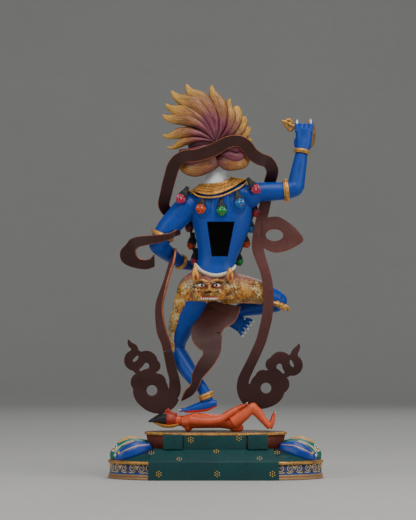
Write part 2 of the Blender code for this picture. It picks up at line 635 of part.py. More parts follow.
def strip(name, rows, colour="brown", thickness=SCARF_THICKNESS, steps=2):
    """A metal band between two edges, given as rows of a point on each."""
    mesh = bmesh.new()
    path = smooth_path([(*first, *second) for first, second in rows], steps)
    edges = [(spot(*row[:3]), spot(*row[3:])) for row in path]
    rings = []
    for i, (first, second) in enumerate(edges):
        before, after = edges[max(i - 1, 0)], edges[min(i + 1, len(edges) - 1)]
        along = sum(after, Vector()) - sum(before, Vector())
        through = along.cross(first - second).normalized() * thickness / 2
        ring = (first + through, second + through, second - through, first - through)
        rings.append([mesh.verts.new(p) for p in ring])
    for low, high in zip(rings, rings[1:]):
        for k in range(4):
            mesh.faces.new((low[k], low[(k + 1) % 4], high[(k + 1) % 4], high[k]))
    mesh.faces.new(list(reversed(rings[0])))
    mesh.faces.new(rings[-1])
    return object_from(mesh, name, colour, STATUE)


def depth_at(levels, z):
    """The depth of a bent plate at a height, from rows of height and depth in falling order."""
    if z >= levels[0][0]:
        return levels[0][1]
    for (high, y_high), (low, y_low) in zip(levels, levels[1:]):
        if z >= low:
            t = (high - z) / (high - low)
            return y_high + (y_low - y_high) * t * t * (3 - 2 * t)
    return levels[-1][1]


def plate(name, solids, holes, levels, colour="brown", thickness=SCARF_THICKNESS):
    """A bent metal plate: the union of flat outlines in x and z, less the holes."""
    verts, faces = [], []
    for outline in (*solids, *holes):
        start = len(verts)
        turning = sum(a[0] * b[1] - b[0] * a[1] for a, b in zip(outline, [*outline[1:], outline[0]]))
        verts.extend(Vector(p) for p in (outline if turning > 0 else reversed(outline)))
        faces.append(list(range(start, len(verts))))
    made = delaunay_2d_cdt(verts, [], faces, 0, 0.15)
    points, triangles, from_faces = made[0], made[2], made[5]
    mesh = bmesh.new()
    flat = [mesh.verts.new(spot(p.x, depth_at(levels, p.y), p.y)) for p in points]
    for corners, origins in zip(triangles, from_faces):
        solid = any(k < len(solids) for k in origins)
        hollow = any(k >= len(solids) for k in origins)
        if solid and not hollow:
            mesh.faces.new([flat[k] for k in corners])
    bmesh.ops.delete(mesh, geom=[v for v in mesh.verts if not v.link_faces], context="VERTS")
    bmesh.ops.recalc_face_normals(mesh, faces=mesh.faces)
    obj = object_from(mesh, name, colour, STATUE)
    wall = obj.modifiers.new("wall", "SOLIDIFY")
    wall.thickness = thickness
    wall.offset = 0.0
    apply_modifiers(obj)
    return obj


def stroke(stations, steps=2):
    """The outline of a band drawn through rows of x, z and width."""
    path = smooth_path(stations, steps)
    left, right = [], []
    for i, (x, z, width) in enumerate(path):
        before = path[max(i - 1, 0)]
        after = path[min(i + 1, len(path) - 1)]
        along = Vector((after[0] - before[0], after[1] - before[1])).normalized()
        side = Vector((-along.y, along.x)) * width / 2
        left.append(Vector((x, z)) + side)
        right.append(Vector((x, z)) - side)
    return left + list(reversed(right))


def disc(x, z, radius_x, radius_z=None, sides=9):
    radius_z = radius_z or radius_x
    angles = [2 * math.pi * k / sides for k in range(sides)]
    return [Vector((x + radius_x * math.cos(a), z + radius_z * math.sin(a))) for a in angles]


def snail(sides=17):
    """The big turn of a curl round the origin, widest at the left where the band comes in."""
    outline = []
    for k in range(sides):
        angle = 180 + 345 * k / (sides - 1)
        settle = min(1.0, (angle - 180) / 115)
        ease = settle * settle * (3 - 2 * settle)
        radius = 28.5 - 9.5 * ease
        if angle > 430:
            radius -= 2.5 * min(1.0, (angle - 430) / 40)
        outline.append(Vector((radius * math.cos(math.radians(angle)), radius * math.sin(math.radians(angle)))))
    return outline


CURL_SLOTS = [
    [(13.2, 24.3), (15.6, 23.4), (16.4, 20), (18.6, 15.4), (16.6, 14.8), (14, 17.4), (10.6, 19.8),
     (10.9, 22.8)],
    [(24.5, 28.2), (26.2, 26.6), (27.9, 22.2), (26.8, 20.9), (24.3, 23.2), (23.7, 26.4)],
]


def curl_shapes(centre, mirror, turn, lean):
    """Outlines and holes of a scarf end that rolls up in three turns and a tip, as a right-hand one."""
    tip = [(27, 27, 9.5), (28.6 + 0.35 * lean, 35 - 0.1 * lean, 7), (31 + 0.65 * lean, 38.8 - 0.45 * lean, 5.4),
           (32.6 + 0.8 * lean, 41.6 - 0.55 * lean, 3.5), (32.7 + lean, 44.2 - 0.6 * lean, 1)]
    solids = [snail(), disc(-2.7, 9.9, 8.3), disc(6.3, 23.6, 6.8), disc(14.6, 24.8, 11.5),
              disc(26.1, 22.8, 10.7), disc(13.8, 3.9, 9.6), stroke(tip)]
    holes = [disc(0, 0, 5.4, sides=9), *([Vector(p) for p in slot] for slot in CURL_SLOTS)]
    spin = Matrix.Rotation(math.radians(turn), 2)

    def placed(outline):
        moved = []
        for p in outline:
            q = spin @ p
            moved.append(Vector((centre[0] + mirror * q.x, centre[1] + q.y)))
        return moved

    return [placed(o) for o in solids], [placed(o) for o in holes]


HOOK_EDGES = [
    ((-41.5, 14.2, 262.5), (-51.5, 14.2, 262.5)), ((-38, 13, 254.5), (-44, 11.5, 251)),
    ((-36.3, 2, 251), (-36.3, 2, 243.5)), ((-40, -9.5, 247.6), (-41, -10.5, 240.8)),
    ((-46, -12.5, 244.2), (-46, -12.5, 237.6)), ((-57.9, -13, 242.7), (-57.9, -13, 234.3)),
    ((-67.9, -11, 241.7), (-67.9, -11, 232.3)), ((-78, -8, 240.8), (-76, -8.5, 230.3)),
    ((-85, -5, 238.3), (-79, -7, 228)), ((-89.3, -2, 233.4), (-79.7, -6, 226)),
    ((-93.5, 0, 229.4), (-79.5, -4, 224)), ((-95.6, 1, 225), (-79.2, -3, 222.8)),
    ((-95.4, 2, 220), (-78.3, -2, 221.3)), ((-93, 2.5, 215.3), (-77, -1, 220)),
    ((-87, 3, 211.6), (-75, 0, 218.9)), ((-79, 3.5, 209.2), (-72, 2, 218)),
    ((-71, 5, 208.2), (-68.5, 4, 217.9)), ((-66, 7, 209), (-65, 6.5, 219.3)),
    ((-61.6, 8.5, 210.8), (-61.8, 8, 223)),
]
RIGHT_LEVELS = [(290, 14), (268, 13), (240, 9), (200, 3.5), (186, 2.5), (150, 0), (110, -3), (70, -4)]
LEFT_LEVELS = [(130, 2), (112, 1.5), (95, 0), (65, -3.5)]


def build_scarf():
    parts = {}
    parts["arch"] = ribbon("scarf_arch", [
        (-47.5, 13.5, 264.5, 10, 0), (-52, 7, 272.5, 11.5, 0), (-49.5, -3, 285, 12, 0),
        (-45.5, -10, 300, 12.5, 0),
        (-41, -15, 312.5, 13, 0), (-31.7, -19, 320, 12.5, 0), (-18.7, -21.5, 321.5, 12.5, 0),
        (-2.7, -22.5, 326.5, 13, 0), (11.3, -22.5, 334, 12, 0), (22, -21.5, 335.7, 11.5, 0),
        (29.8, -19.5, 331.4, 12.5, 0), (36.6, -16.5, 322.7, 12.8, 0), (44, -13, 318, 12.4, 0),
        (52, -9, 315, 12.2, 0), (56.2, -4, 308.5, 12.2, 0), (56.4, 1, 303, 12, 0), (54.2, 8, 296, 11.5, 0),
        (52.3, 13.8, 288.5, 11, 0)])
    parts["hook"] = strip("scarf_left_hook", HOOK_EDGES)
    parts["left"] = ribbon("scarf_left_streamer", [
        (-41.5, 7, 226.5, 10, 70), (-41.7, 3.5, 222, 10, 72), (-43.7, 0, 215.5, 10.5, 66),
        (-46.2, -1, 207.5, 10.5, 70), (-49.7, -1, 195.5, 10.5, 70), (-53.7, -1, 182.5, 10.5, 58),
        (-56.2, 0, 172, 10.5, 48), (-56, 1, 159.5, 10.5, 38),
        (-53.7, 1.5, 145.5, 10.5, 18), (-50, 2, 135, 9.5, 5), (-48.2, 2, 127.3, 9.5, 0)])
    stem = [(-47.9, 126.6, 9.5), (-46.2, 118, 9.5), (-44, 108, 9.8), (-41.2, 97.5, 10.5), (-41.5, 86, 12.6),
            (-48, 77, 12), (-57, 73, 11)]
    solids, holes = curl_shapes((-63.7, 87.1), -1, 19, 6)
    parts["left_curl"] = plate("scarf_left_curl", [stroke(stem), *solids], holes, LEFT_LEVELS)
    stem = [(51.8, 287.2, 11), (49.5, 273, 11), (46.5, 260, 11), (43.8, 245.5, 12), (42.3, 231, 12),
            (44.8, 219.5, 10.5), (49, 207.5, 9.7), (52.2, 192.5, 10), (52.8, 177.5, 10.2), (52, 165.5, 10.5),
            (50.8, 157.2, 10.5)]
    leaf = [(46, 259, 0), (54, 260.5, 0), (63, 260.8, 0), (72, 256, 0), (81, 248.5, 0), (88, 237.8, 0),
            (80, 231, 0), (70, 226.5, 0), (60, 225, 0), (52, 227.5, 0), (45, 232, 0)]
    loop = [Vector(p[:2]) for p in smooth_path(leaf, 2)]
    parts["right"] = plate("scarf_right_streamer", [stroke(stem), loop], [disc(59, 242.5, 8.8, 5.9, 10)],
                           RIGHT_LEVELS)
    stem = [(50.7, 156.6, 10.5), (49, 150, 10.5), (45.3, 136.5, 10.2), (39, 122, 10.2), (32.7, 109, 10.4),
            (27.6, 97, 11.4), (28, 86, 13), (34.5, 77, 14), (45, 73.5, 10)]
    solids, holes = curl_shapes((50.2, 89.6), 1, 0, 0)
    parts["right_curl"] = plate("scarf_right_curl", [stroke(stem), *solids], holes, RIGHT_LEVELS)
    rows = [(303, 204.5, 241, 10), (312, 202.5, 238, 8), (321, 197.5, 227, 4), (333, 191.2, 221.3, -1),
            (341, 195, 222.8, -5), (349, 201.5, 221.5, -8), (357, 202.2, 217.8, -11), (366, 196.4, 211, -13.5),
            (375, 192, 203.5, -15), (385, 190.5, 198.9, -16), (392, 184.5, 193.5, -14),
            (400, 180.8, 182.4, -10)]
    across = [((a + b) / 2 - 215.7, y, 477.5 - level, b - a, 0) for level, a, b, y in rows]
    parts["sash"] = ribbon("sash_tail", across, across=(-1, 0, 0))
    return parts


# What the hands hold
def build_knife():
    """A crescent blade beyond the fist, with a handle through it that ends in three prongs."""
    clay = Clay()
    handle = HANDLE_RADIUS / UNIT
    clay.limb([(73, 17, 355, handle), (79, 17.5, 352, handle), (91, 19, 348.5, handle),
               (99.5, 26.5, 346, handle)], sides=10)
    clay.ball((79, 17.5, 352), (2.6, 2.6, 2.6))
    clay.limb([(74, 17, 354.5, 1.8), (69.5, 17, 356.5, 2.4), (65.8, 17, 358.2, 0.8)], sides=8)
    for sag in ([(75.4, 17.3, 346.6), (71, 17, 350.5), (68.5, 17, 355.5)],
                [(75, 17.3, 359.3), (70.5, 17, 359)]):
        clay.limb([(78, 17.5, 352, 1.3), *((*p, 1.2) for p in sag)], across=(0, 1, 0), sides=7)
    rows = []
    for k in range(9):
        angle = math.radians(-76 + 19 * k)
        bulge = math.cos(angle)
        height = 345 + 13.5 * math.sin(angle)
        rows.append((94.2 + 6.2 * bulge, 17 + 12 * bulge, height, 1 + 2.6 * max(bulge, 0), 1.1))
    clay.limb(rows, across=(0.46, 0.89, 0), sides=8)
    return clay.cast("curved_knife", "gold", 300, FINE_VOXEL, 2)


# The skull cup
def build_cup():
    """A hollow bowl made from a skull, turned from its section."""
    mesh = bmesh.new()
    section = [(0.0, CUP_WALL - CUP_RADIUS)]
    inner, outer = CUP_RADIUS - CUP_WALL, CUP_RADIUS
    turns = 4
    for k in range(1, turns + 1):
        angle = math.pi / 2 * (1 - k / turns)
        section.append((inner * math.cos(angle), -inner * math.sin(angle)))
    for k in range(turns + 1):
        angle = math.pi / 2 * k / turns
        section.append((outer * math.cos(angle), -outer * math.sin(angle)))
    section[-1] = (0.0, section[-1][1])
    points = [mesh.verts.new((x, 0, z)) for x, z in section]
    for a, b in zip(points, points[1:]):
        mesh.edges.new((a, b))
    data = bpy.data.meshes.new("skull_cup")
    mesh.to_mesh(data)
    mesh.free()
    cup = bpy.data.objects.new("skull_cup", data)
    cup.data.materials.append(paint("bone"))
    STATUE.objects.link(cup)
    turn = cup.modifiers.new("turn", "SCREW")
    turn.steps = 16
    turn.render_steps = 16
    turn.use_merge_vertices = True
    turn.merge_threshold = 0.00005
    apply_modifiers(cup)
    cup.data.transform(Matrix.Translation(spot(-8, 43.8, 230.5)))
    cup.data.shade_smooth()
    return cup


def main():
    plinth = build_plinth()
    corpse = build_corpse()
    figure = build_figure()
    mane = build_mane()
    scarf = build_scarf()
    knife = build_knife()
    cup = build_cup()
    make_room(figure, knife)
    make_room(figure, cup)
    make_room(corpse, figure)
    make_room(mane, figure)
    make_room(mane, scarf["arch"])
    for name in ("arch", "hook", "left", "sash", "right"):
        make_room(scarf[name], figure)
    for name in ("left_curl", "right_curl"):
        make_room(scarf[name], corpse)
    make_room(scarf["sash"], scarf["left_curl"])
    make_room(scarf["right"], scarf["arch"])
    make_room(scarf["hook"], scarf["arch"])
    make_room(scarf["left"], scarf["hook"])
    make_room(scarf["left_curl"], scarf["left"])
    make_room(scarf["right_curl"], scarf["right"])
    return plinth


clear_scene()
STATUE = collection_named("lion_faced_statue")
CUTTERS = collection_named("cutters")
CUTTERS.hide_render = True
main()
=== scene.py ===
"""Dresses the packed statue: carved and painted pieces stand in for its plain solids.

Pose points are in millimetres: +X is the figure's own right side, +Y its front, and Z is measured from
the floor. A maker can change the sizes and colours in the sidebar and run one piece again.
"""
from math import cos, exp, pi, radians, sin

import bmesh
import bpy
import numpy as np
from mathutils import Euler, Matrix, Vector
from mathutils.geometry import delaunay_2d_cdt


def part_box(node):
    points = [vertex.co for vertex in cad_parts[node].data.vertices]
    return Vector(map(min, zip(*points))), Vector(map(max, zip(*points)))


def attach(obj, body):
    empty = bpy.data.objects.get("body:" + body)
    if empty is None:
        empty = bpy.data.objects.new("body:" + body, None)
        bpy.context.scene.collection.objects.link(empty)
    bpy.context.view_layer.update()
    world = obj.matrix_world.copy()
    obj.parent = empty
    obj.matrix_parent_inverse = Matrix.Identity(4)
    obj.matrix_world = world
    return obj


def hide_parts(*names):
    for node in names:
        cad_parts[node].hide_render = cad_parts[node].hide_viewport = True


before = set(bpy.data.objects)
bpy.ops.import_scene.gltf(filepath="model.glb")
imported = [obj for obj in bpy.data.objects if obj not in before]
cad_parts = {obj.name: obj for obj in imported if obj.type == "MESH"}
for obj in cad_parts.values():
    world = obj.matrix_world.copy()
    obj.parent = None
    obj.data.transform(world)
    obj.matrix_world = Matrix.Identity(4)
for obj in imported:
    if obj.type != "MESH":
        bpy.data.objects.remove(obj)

bl_info = {
    "name": "Lion-faced dancing statue",
    "version": (1, 0, 0),
    "blender": (4, 5, 0),
    "location": "3D View > Sidebar > Statue",
    "description": "Carves and paints a lion-faced dancing statue over its packed model",
    "category": "Add Mesh",
}

MM = 0.001
DEEP, UP = (0, 1, 0), (0, 0, 1)
PLINTH_LOW, PLINTH_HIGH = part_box("plinth")
PLINTH_TOP = PLINTH_HIGH[2]
POSE_FLOOR = 46.5
PATTERN_BASE = POSE_FLOOR - PLINTH_TOP / MM


def spot(x, y, z):
    """A pose point in metres, above the plinth's top as the CAD has it."""
    return Vector((x * MM, y * MM, PLINTH_TOP + (z - POSE_FLOOR) * MM))


def linear(code):
    """A linear colour from a six-digit sRGB code."""
    parts = [int(code[i:i + 2], 16) / 255 for i in (1, 3, 5)]
    return tuple(p / 12.92 if p <= 0.04045 else ((p + 0.055) / 1.055) ** 2.4 for p in parts)


# Sizes and colours a maker would change
def length(name, words, default, low=0.0001, high=0.1):
    return bpy.props.FloatProperty(
        name=name, description=words, default=default, min=low, max=high, subtype="DISTANCE", unit="LENGTH",
        precision=5)


def colour(name, words, code):
    return bpy.props.FloatVectorProperty(
        name=name, description=words, default=linear(code), size=3, min=0, max=1, subtype="COLOR")


class StatueSizes(bpy.types.PropertyGroup):
    skin_detail: length("Skin detail", "Voxel size of the body's modelled skin", 0.00072)
    fine_detail: length("Fine detail", "Voxel size of faces, hands and feet", 0.00042)
    scarf_wall: length("Scarf wall", "Thickness of the scarf's metal bands", 0.0024)
    edge_round: length("Edge round", "Rounding of the scarf's edges", 0.0005)
    lock_swell: bpy.props.FloatProperty(
        name="Lock swell", description="How far each lock of the mane stands out", default=1.0, min=0.2, max=2)
    petal_count: bpy.props.IntProperty(
        name="Petals", description="Lotus petals round the plinth's shoulder", default=15, min=7, max=25)
    petal_width: length("Petal width", "Width of one lotus petal", 0.0185)
    rim_bead: length("Rim bead", "Radius of the beads round the upper rim", 0.00105)
    dot: length("Dot", "Radius of one dot in the painted dot flowers", 0.0006)


class StatueColours(bpy.types.PropertyGroup):
    skin: colour("Skin", "Blue of the dancer's skin", "#0044A4")
    face: colour("Face", "White of the neck and the lion face", "#EEF2F6")
    gold: colour("Gold", "Gold paint of jewels and rims", "#D09A50")
    mane_tip: colour("Mane tips", "Golden ends of the mane", "#CB983C")
    mane_root: colour("Mane roots", "Crimson roots of the mane", "#83404E")
    scarf: colour("Scarf", "Dark brown back of the scarf", "#36150F")
    streamer: colour("Streamer", "Paler brown of the hanging streamers", "#6C3C36")
    hide: colour("Hide", "Ochre of the animal hide", "#C9822A")
    coral: colour("Trampled body", "Coral of the trampled body", "#E2603A")
    ground: colour("Plinth ground", "Deep green of the plinth's back", "#053F40")
    brown: colour("Upper tier", "Brown of the upper tier's sides", "#6E2E1C")
    petal_blue: colour("Blue petals", "Blue of some lotus petals", "#1546A8")
    petal_green: colour("Green petals", "Green of the other lotus petals", "#0B7A68")


# Materials
def add(tree, kind, inputs=None, **settings):
    """A node with its settings made and its inputs set or linked."""
    made = tree.nodes.new(kind)
    for key, value in settings.items():
        setattr(made, key, value)
    for key, value in (inputs or {}).items():
        if isinstance(value, bpy.types.NodeSocket):
            tree.links.new(value, made.inputs[key])
        else:
            made.inputs[key].default_value = value
    return made


def ramp(tree, factor, stops):
    """A colour ramp's output; a stop is a position and a colour."""
    made = add(tree, "ShaderNodeValToRGB", {"Fac": factor})
    bar = made.color_ramp
    while len(bar.elements) < len(stops):
        bar.elements.new(0.5)
    for element, (position, tone) in zip(bar.elements, stops):
        element.position = position
        element.color = (*shade(tone), 1.0)
    return made.outputs["Color"]


def shade(tone):
    """A colour as three linear numbers, also when it is given as a code."""
    return linear(tone) if isinstance(tone, str) else tone[:3]


def grey(value):
    return (value, value, value)


def scaled(tone, factor):
    return tuple(min(c * factor, 1.0) for c in shade(tone))


def blend(tree, factor, first, second, mode="MIX"):
    tones = [tone if isinstance(tone, bpy.types.NodeSocket) else (*shade(tone), 1) for tone in (first, second)]
    made = add(tree, "ShaderNodeMix", {0: factor, 6: tones[0], 7: tones[1]}, data_type="RGBA", blend_type=mode)
    return made.outputs[2]


def reckon(tree, operation, first, second):
    return add(tree, "ShaderNodeMath", {0: first, 1: second}, operation=operation).outputs[0]


def attribute(tree, name, output="Fac"):
    return add(tree, "ShaderNodeAttribute", attribute_name=name).outputs[output]


class Finish:
    """Starts a painted finish: object coordinates, two sizes of mottling and a Principled shader."""

    def __init__(self, name, roughness=0.5, metallic=0.0, broad=42.0, fine=420.0, relief=0.12, coat=0.0,
                 stretch=(1, 1, 1)):
        old = bpy.data.materials.get(name)
        if old:
            bpy.data.materials.remove(old)
        self.material = bpy.data.materials.new(name)
        self.material.use_nodes = True
        tree = self.tree = self.material.node_tree
        tree.nodes.clear()
        place = add(tree, "ShaderNodeTexCoord").outputs["Object"]
        self.place = add(tree, "ShaderNodeMapping", {"Vector": place, "Scale": stretch}).outputs[0]
        noise = {"Vector": self.place, "Roughness": 0.6}
        self.broad = add(tree, "ShaderNodeTexNoise", {**noise, "Scale": broad, "Detail": 5.0}).outputs[0]
        self.fine = add(tree, "ShaderNodeTexNoise", {**noise, "Scale": fine, "Detail": 4.0}).outputs[0]
        self.hollow = attribute(tree, "hollow")
        self.shader = add(tree, "ShaderNodeBsdfPrincipled", {"Metallic": metallic, "Coat Weight": coat,
            "Coat Roughness": 0.25, "Specular IOR Level": 0.4})
        rough = add(tree, "ShaderNodeMapRange", {0: self.fine, 1: 0.3, 2: 0.7, 3: roughness - 0.07,
            4: roughness + 0.09})
        tree.links.new(rough.outputs[0], self.shader.inputs["Roughness"])
        self.height = self.fine
        self.relief = relief

    def mottled(self, base, low=0.72, high=1.25):
        """The base colour, a little darker and lighter in broad and fine patches."""
        mixed = blend(self.tree, 0.45, self.broad, self.fine)
        return ramp(self.tree, mixed, [(0.34, scaled(base, low)), (0.5, base), (0.66, scaled(base, high))])

    def done(self, tone, painted_shade=(0.01, 0.008, 0.008), depth=0.75):
        """Closes the finish with grime in the hollows and the relief of the brush."""
        tree = self.tree
        # Painted shade: the deeper a point lies in a fold, the more its colour turns to the dark shade colour.
        inside = reckon(tree, "MULTIPLY", self.hollow, depth)
        tree.links.new(blend(tree, inside, tone, painted_shade), self.shader.inputs["Base Color"])
        bump = add(tree, "ShaderNodeBump", {"Height": self.height, "Strength": self.relief, "Distance": 0.0004})
        tree.links.new(bump.outputs[0], self.shader.inputs["Normal"])
        add(tree, "ShaderNodeOutputMaterial", {"Surface": self.shader.outputs[0]})
        return self.material


def painted(name, base, painted_shade=None, **settings):
    finish = Finish(name, **settings)
    # Unless given, the painted shade in the hollows is the base colour much darkened.
    return finish.done(finish.mottled(base), painted_shade or scaled(base, 0.12))


def gilded(name, base, roughness=0.34):
    """Gold paint, browner in the hollows and brighter where it is rubbed."""
    finish = Finish(name, roughness=roughness, metallic=0.62, broad=90.0, fine=700.0, relief=0.2)
    # Random patches, darker in some and brighter in others; the brightest stand in for painted glints.
    tone = ramp(finish.tree, blend(finish.tree, 0.5, finish.broad, finish.fine), [(0.36, scaled(base, 0.55)),
        (0.5, base), (0.62, scaled(base, 1.55))])
    return finish.done(tone, (0.09, 0.022, 0.008), 0.8)


def tinted(name, roughness=0.45, **settings):
    """Paint whose colour each copy brings with it."""
    finish = Finish(name, roughness=roughness, **settings)
    own = attribute(finish.tree, "tint", "Color")
    patchy = ramp(finish.tree, finish.fine, [(0.35, grey(0.7)), (0.6, grey(1.0))])
    return finish.done(blend(finish.tree, 1.0, own, patchy, "MULTIPLY"), (0.02, 0.006, 0.006), 0.8)


# Meshes
def linked(name, data):
    """A new object in the scene with the given data."""
    obj = bpy.data.objects.new(name, data)
    bpy.context.scene.collection.objects.link(obj)
    return obj


def object_from(mesh, name, *materials):
    data = bpy.data.meshes.new(name)
    bmesh.ops.recalc_face_normals(mesh, faces=mesh.faces)
    mesh.to_mesh(data)
    mesh.free()
    for material in materials:
        data.materials.append(material)
    data.shade_smooth()
    return linked(name, data)


def apply_modifiers(obj):
    bpy.context.view_layer.update()
    seen = obj.evaluated_get(bpy.context.evaluated_depsgraph_get())
    old = obj.data
    obj.data = bpy.data.meshes.new_from_object(seen)
    obj.data.name = obj.name
    obj.modifiers.clear()
    bpy.data.meshes.remove(old)


def modify(obj, kind, **settings):
    step = obj.modifiers.new(kind.lower(), kind)
    for key, value in settings.items():
        setattr(step, key, value)
    return step


def merged(name, parts):
    """Several objects made one, each part keeping its materials."""
    first = parts[0]
    if len(parts) > 1:
        with bpy.context.temp_override(active_object=first, object=first, selected_objects=parts,
                                       selected_editable_objects=parts):
            bpy.ops.object.join()
    first.name = name
    first.data.name = name
    return first


def settle(obj, slot="dancing_figure", *nodes):
    """Puts a finished piece on the statue's one body, in place of the CAD nodes it stands for.

    Most pieces belong to the dancer, whose slot is the usual one.
    """
    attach(obj, "root")
    if nodes:
        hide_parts(*nodes)


def values_of(data, name, width=3, dtype=float):
    """One property of every vertex, edge or face as rows of numbers."""
    values = np.empty(len(data) * width, dtype=dtype)
    data.foreach_get(name, values)
    return values.reshape(-1, width) if width > 1 else values


def store(mesh, name, values, kind="FLOAT"):
    made = mesh.attributes.get(name) or mesh.attributes.new(name, kind, "POINT")
    key = {"FLOAT": "value", "FLOAT_VECTOR": "vector", "FLOAT_COLOR": "color"}[kind]
    made.data.foreach_set(key, np.asarray(values, dtype=np.float32).ravel())


def mark_hollows(obj, rounds=14, reach=0.0007):
    """Stores how deep each point lies in a fold, from how far a smoothed copy stands above it."""
    mesh = obj.data
    count = len(mesh.vertices)
    place = values_of(mesh.vertices, "co")
    normal = values_of(mesh.vertices, "normal")
    edges = values_of(mesh.edges, "vertices", 2, np.int32)
    ends = np.concatenate((edges[:, 0], edges[:, 1]))
    others = np.concatenate((edges[:, 1], edges[:, 0]))
    degree = np.maximum(np.bincount(ends, minlength=count), 1)[:, None]
    soft = place.copy()
    for _ in range(rounds):
        around = np.stack([np.bincount(ends, weights=soft[others, k], minlength=count) for k in range(3)], axis=1)
        soft = 0.4 * soft + 0.6 * around / degree
    depth = ((soft - place) * normal).sum(axis=1) / reach
    # The finishes turn the colour darker by this depth as painted shade.
    store(mesh, "hollow", np.clip(depth, 0, 1))
    return obj


def smooth_path(points, steps, closed=False):
    """Catmull-Rom points through rows of numbers."""
    count = len(points)
    path = []
    for i in range(count if closed else count - 1):
        rows = [points[(i + k) % count] if closed else points[min(max(i + k, 0), count - 1)] for k in (-1, 0, 1, 2)]
        for s in range(steps):
            t = s / steps
            path.append([
                0.5 * (2 * b + (c - a) * t + (2 * a - 5 * b + 4 * c - d) * t**2 + (3 * b - a - 3 * c + d) * t**3)
                for a, b, c, d in zip(*rows)
            ])
    if not closed:
        path.append(list(points[-1]))
    return path


def threaded(rows, steps, closed=False):
    """A smooth line through pose points, in metres."""
    return [spot(*p) for p in smooth_path(rows, steps, closed)]


def frames_along(path, across, closed=False):
    """For each point of a path: its place, its direction, and unit vectors across and through it."""
    places = [spot(*row[:3]) for row in path]
    last = len(places) - 1
    for i, place in enumerate(places):
        before = places[i - 1] if closed or i else place
        after = places[(i + 1) % len(places)] if closed or i < last else place
        along = (after - before).normalized()
        wide = Vector(across[i] if isinstance(across, list) else across)
        wide = (wide - along * wide.dot(along)).normalized()
        yield place, along, wide, along.cross(wide)


def skin_rings(mesh, rings, closed=False, material=None):
    """Faces between rings of vertices, with flat ends unless the rings close on themselves."""
    pairs = list(zip(rings, rings[1:]))
    if closed:
        pairs.append((rings[-1], rings[0]))
    count = len(rings[0])
    for low, high in pairs:
        for k in range(count):
            face = mesh.faces.new((low[k], low[(k + 1) % count], high[(k + 1) % count], high[k]))
            if material:
                face.material_index = material(k)
    if not closed:
        mesh.faces.new(list(reversed(rings[0])))
        mesh.faces.new(rings[-1])


class Clay:
    """Overlapping closed lumps that are left as they are or fused into one skin."""

    def __init__(self):
        self.mesh = bmesh.new()

    def ball(self, centre, radii, turn=(0, 0, 0), detail=16):
        place = Matrix.Translation(spot(*centre)) @ Euler([radians(a) for a in turn]).to_matrix().to_4x4()
        size = Matrix.Diagonal([r * MM for r in radii]).to_4x4()
        bmesh.ops.create_uvsphere(self.mesh, u_segments=detail, v_segments=max(6, detail * 2 // 3), radius=1.0,
            matrix=place @ size)

    def limb(self, stations, across=(1, 0, 0), sides=16, steps=5, closed=False):
        """A tapering limb through stations of x, y, z and the half sizes across and through it."""
        path = smooth_path([row if len(row) == 5 else (*row, row[3]) for row in stations], steps, closed)
        rings = []
        for row, (place, _, wide, deep) in zip(path, frames_along(path, across, closed)):
            ring = []
            for k in range(sides):
                angle = 2 * pi * k / sides
                reach = wide * cos(angle) * row[3] + deep * sin(angle) * row[4]
                ring.append(self.mesh.verts.new(place + reach * MM))
            rings.append(ring)
        skin_rings(self.mesh, rings, closed)

    def hoop(self, centre, radius, normal, thickness, sides=10, turns=36):
        """A ring of round wire about a centre."""
        turn = Vector(normal).to_track_quat("Z", "Y")
        rows = []
        for k in range(turns):
            angle = 2 * pi * k / turns
            at = Vector(centre) + turn @ Vector((cos(angle) * radius, sin(angle) * radius, 0))
            rows.append((*at, thickness))
        self.limb(rows, across=normal, sides=sides, steps=1, closed=True)

    def plain(self, name, *materials):
        return object_from(self.mesh, name, *materials)

    def fused(self, name, material, voxel, rounds=4, hollows=14, limit=None):
        obj = object_from(self.mesh, name, material)
        modify(obj, "REMESH", mode="VOXEL", voxel_size=voxel)
        modify(obj, "SMOOTH", factor=0.5, iterations=rounds)
        apply_modifiers(obj)
        faces = len(obj.data.polygons) * 2
        if limit and faces > limit:
            modify(obj, "DECIMATE", ratio=limit / faces)
            apply_modifiers(obj)
        obj.data.materials.clear()
        obj.data.materials.append(material)
        obj.data.polygons.foreach_set("material_index", np.zeros(len(obj.data.polygons), dtype=np.int32))
        obj.data.shade_smooth()
        return mark_hollows(obj, hollows)


def repaint(obj, material, chosen):
    """Gives the faces whose middles pass a test a further material."""
    obj.data.materials.append(material)
    index = len(obj.data.materials) - 1
    centres = values_of(obj.data.polygons, "center") / MM
    centres[:, 2] += PATTERN_BASE
    normals = values_of(obj.data.polygons, "normal")
    marks = values_of(obj.data.polygons, "material_index", 1, np.int32)
    marks[chosen(centres, normals)] = index
    obj.data.polygons.foreach_set("material_index", marks)


# Geometry node trees
def tree_named(name, sockets):
    old = bpy.data.node_groups.get(name)
    if old:
        bpy.data.node_groups.remove(old)
    tree = bpy.data.node_groups.new(name, "GeometryNodeTree")
    tree.is_modifier = True
    tree.interface.new_socket("Geometry", in_out="INPUT", socket_type="NodeSocketGeometry")
    for label, kind, default in sockets:
        socket = tree.interface.new_socket(label, in_out="INPUT", socket_type=f"NodeSocket{kind}")
        if default is not None:
            socket.default_value = default
    tree.interface.new_socket("Geometry", in_out="OUTPUT", socket_type="NodeSocketGeometry")
    return tree, add(tree, "NodeGroupInput"), add(tree, "NodeGroupOutput")


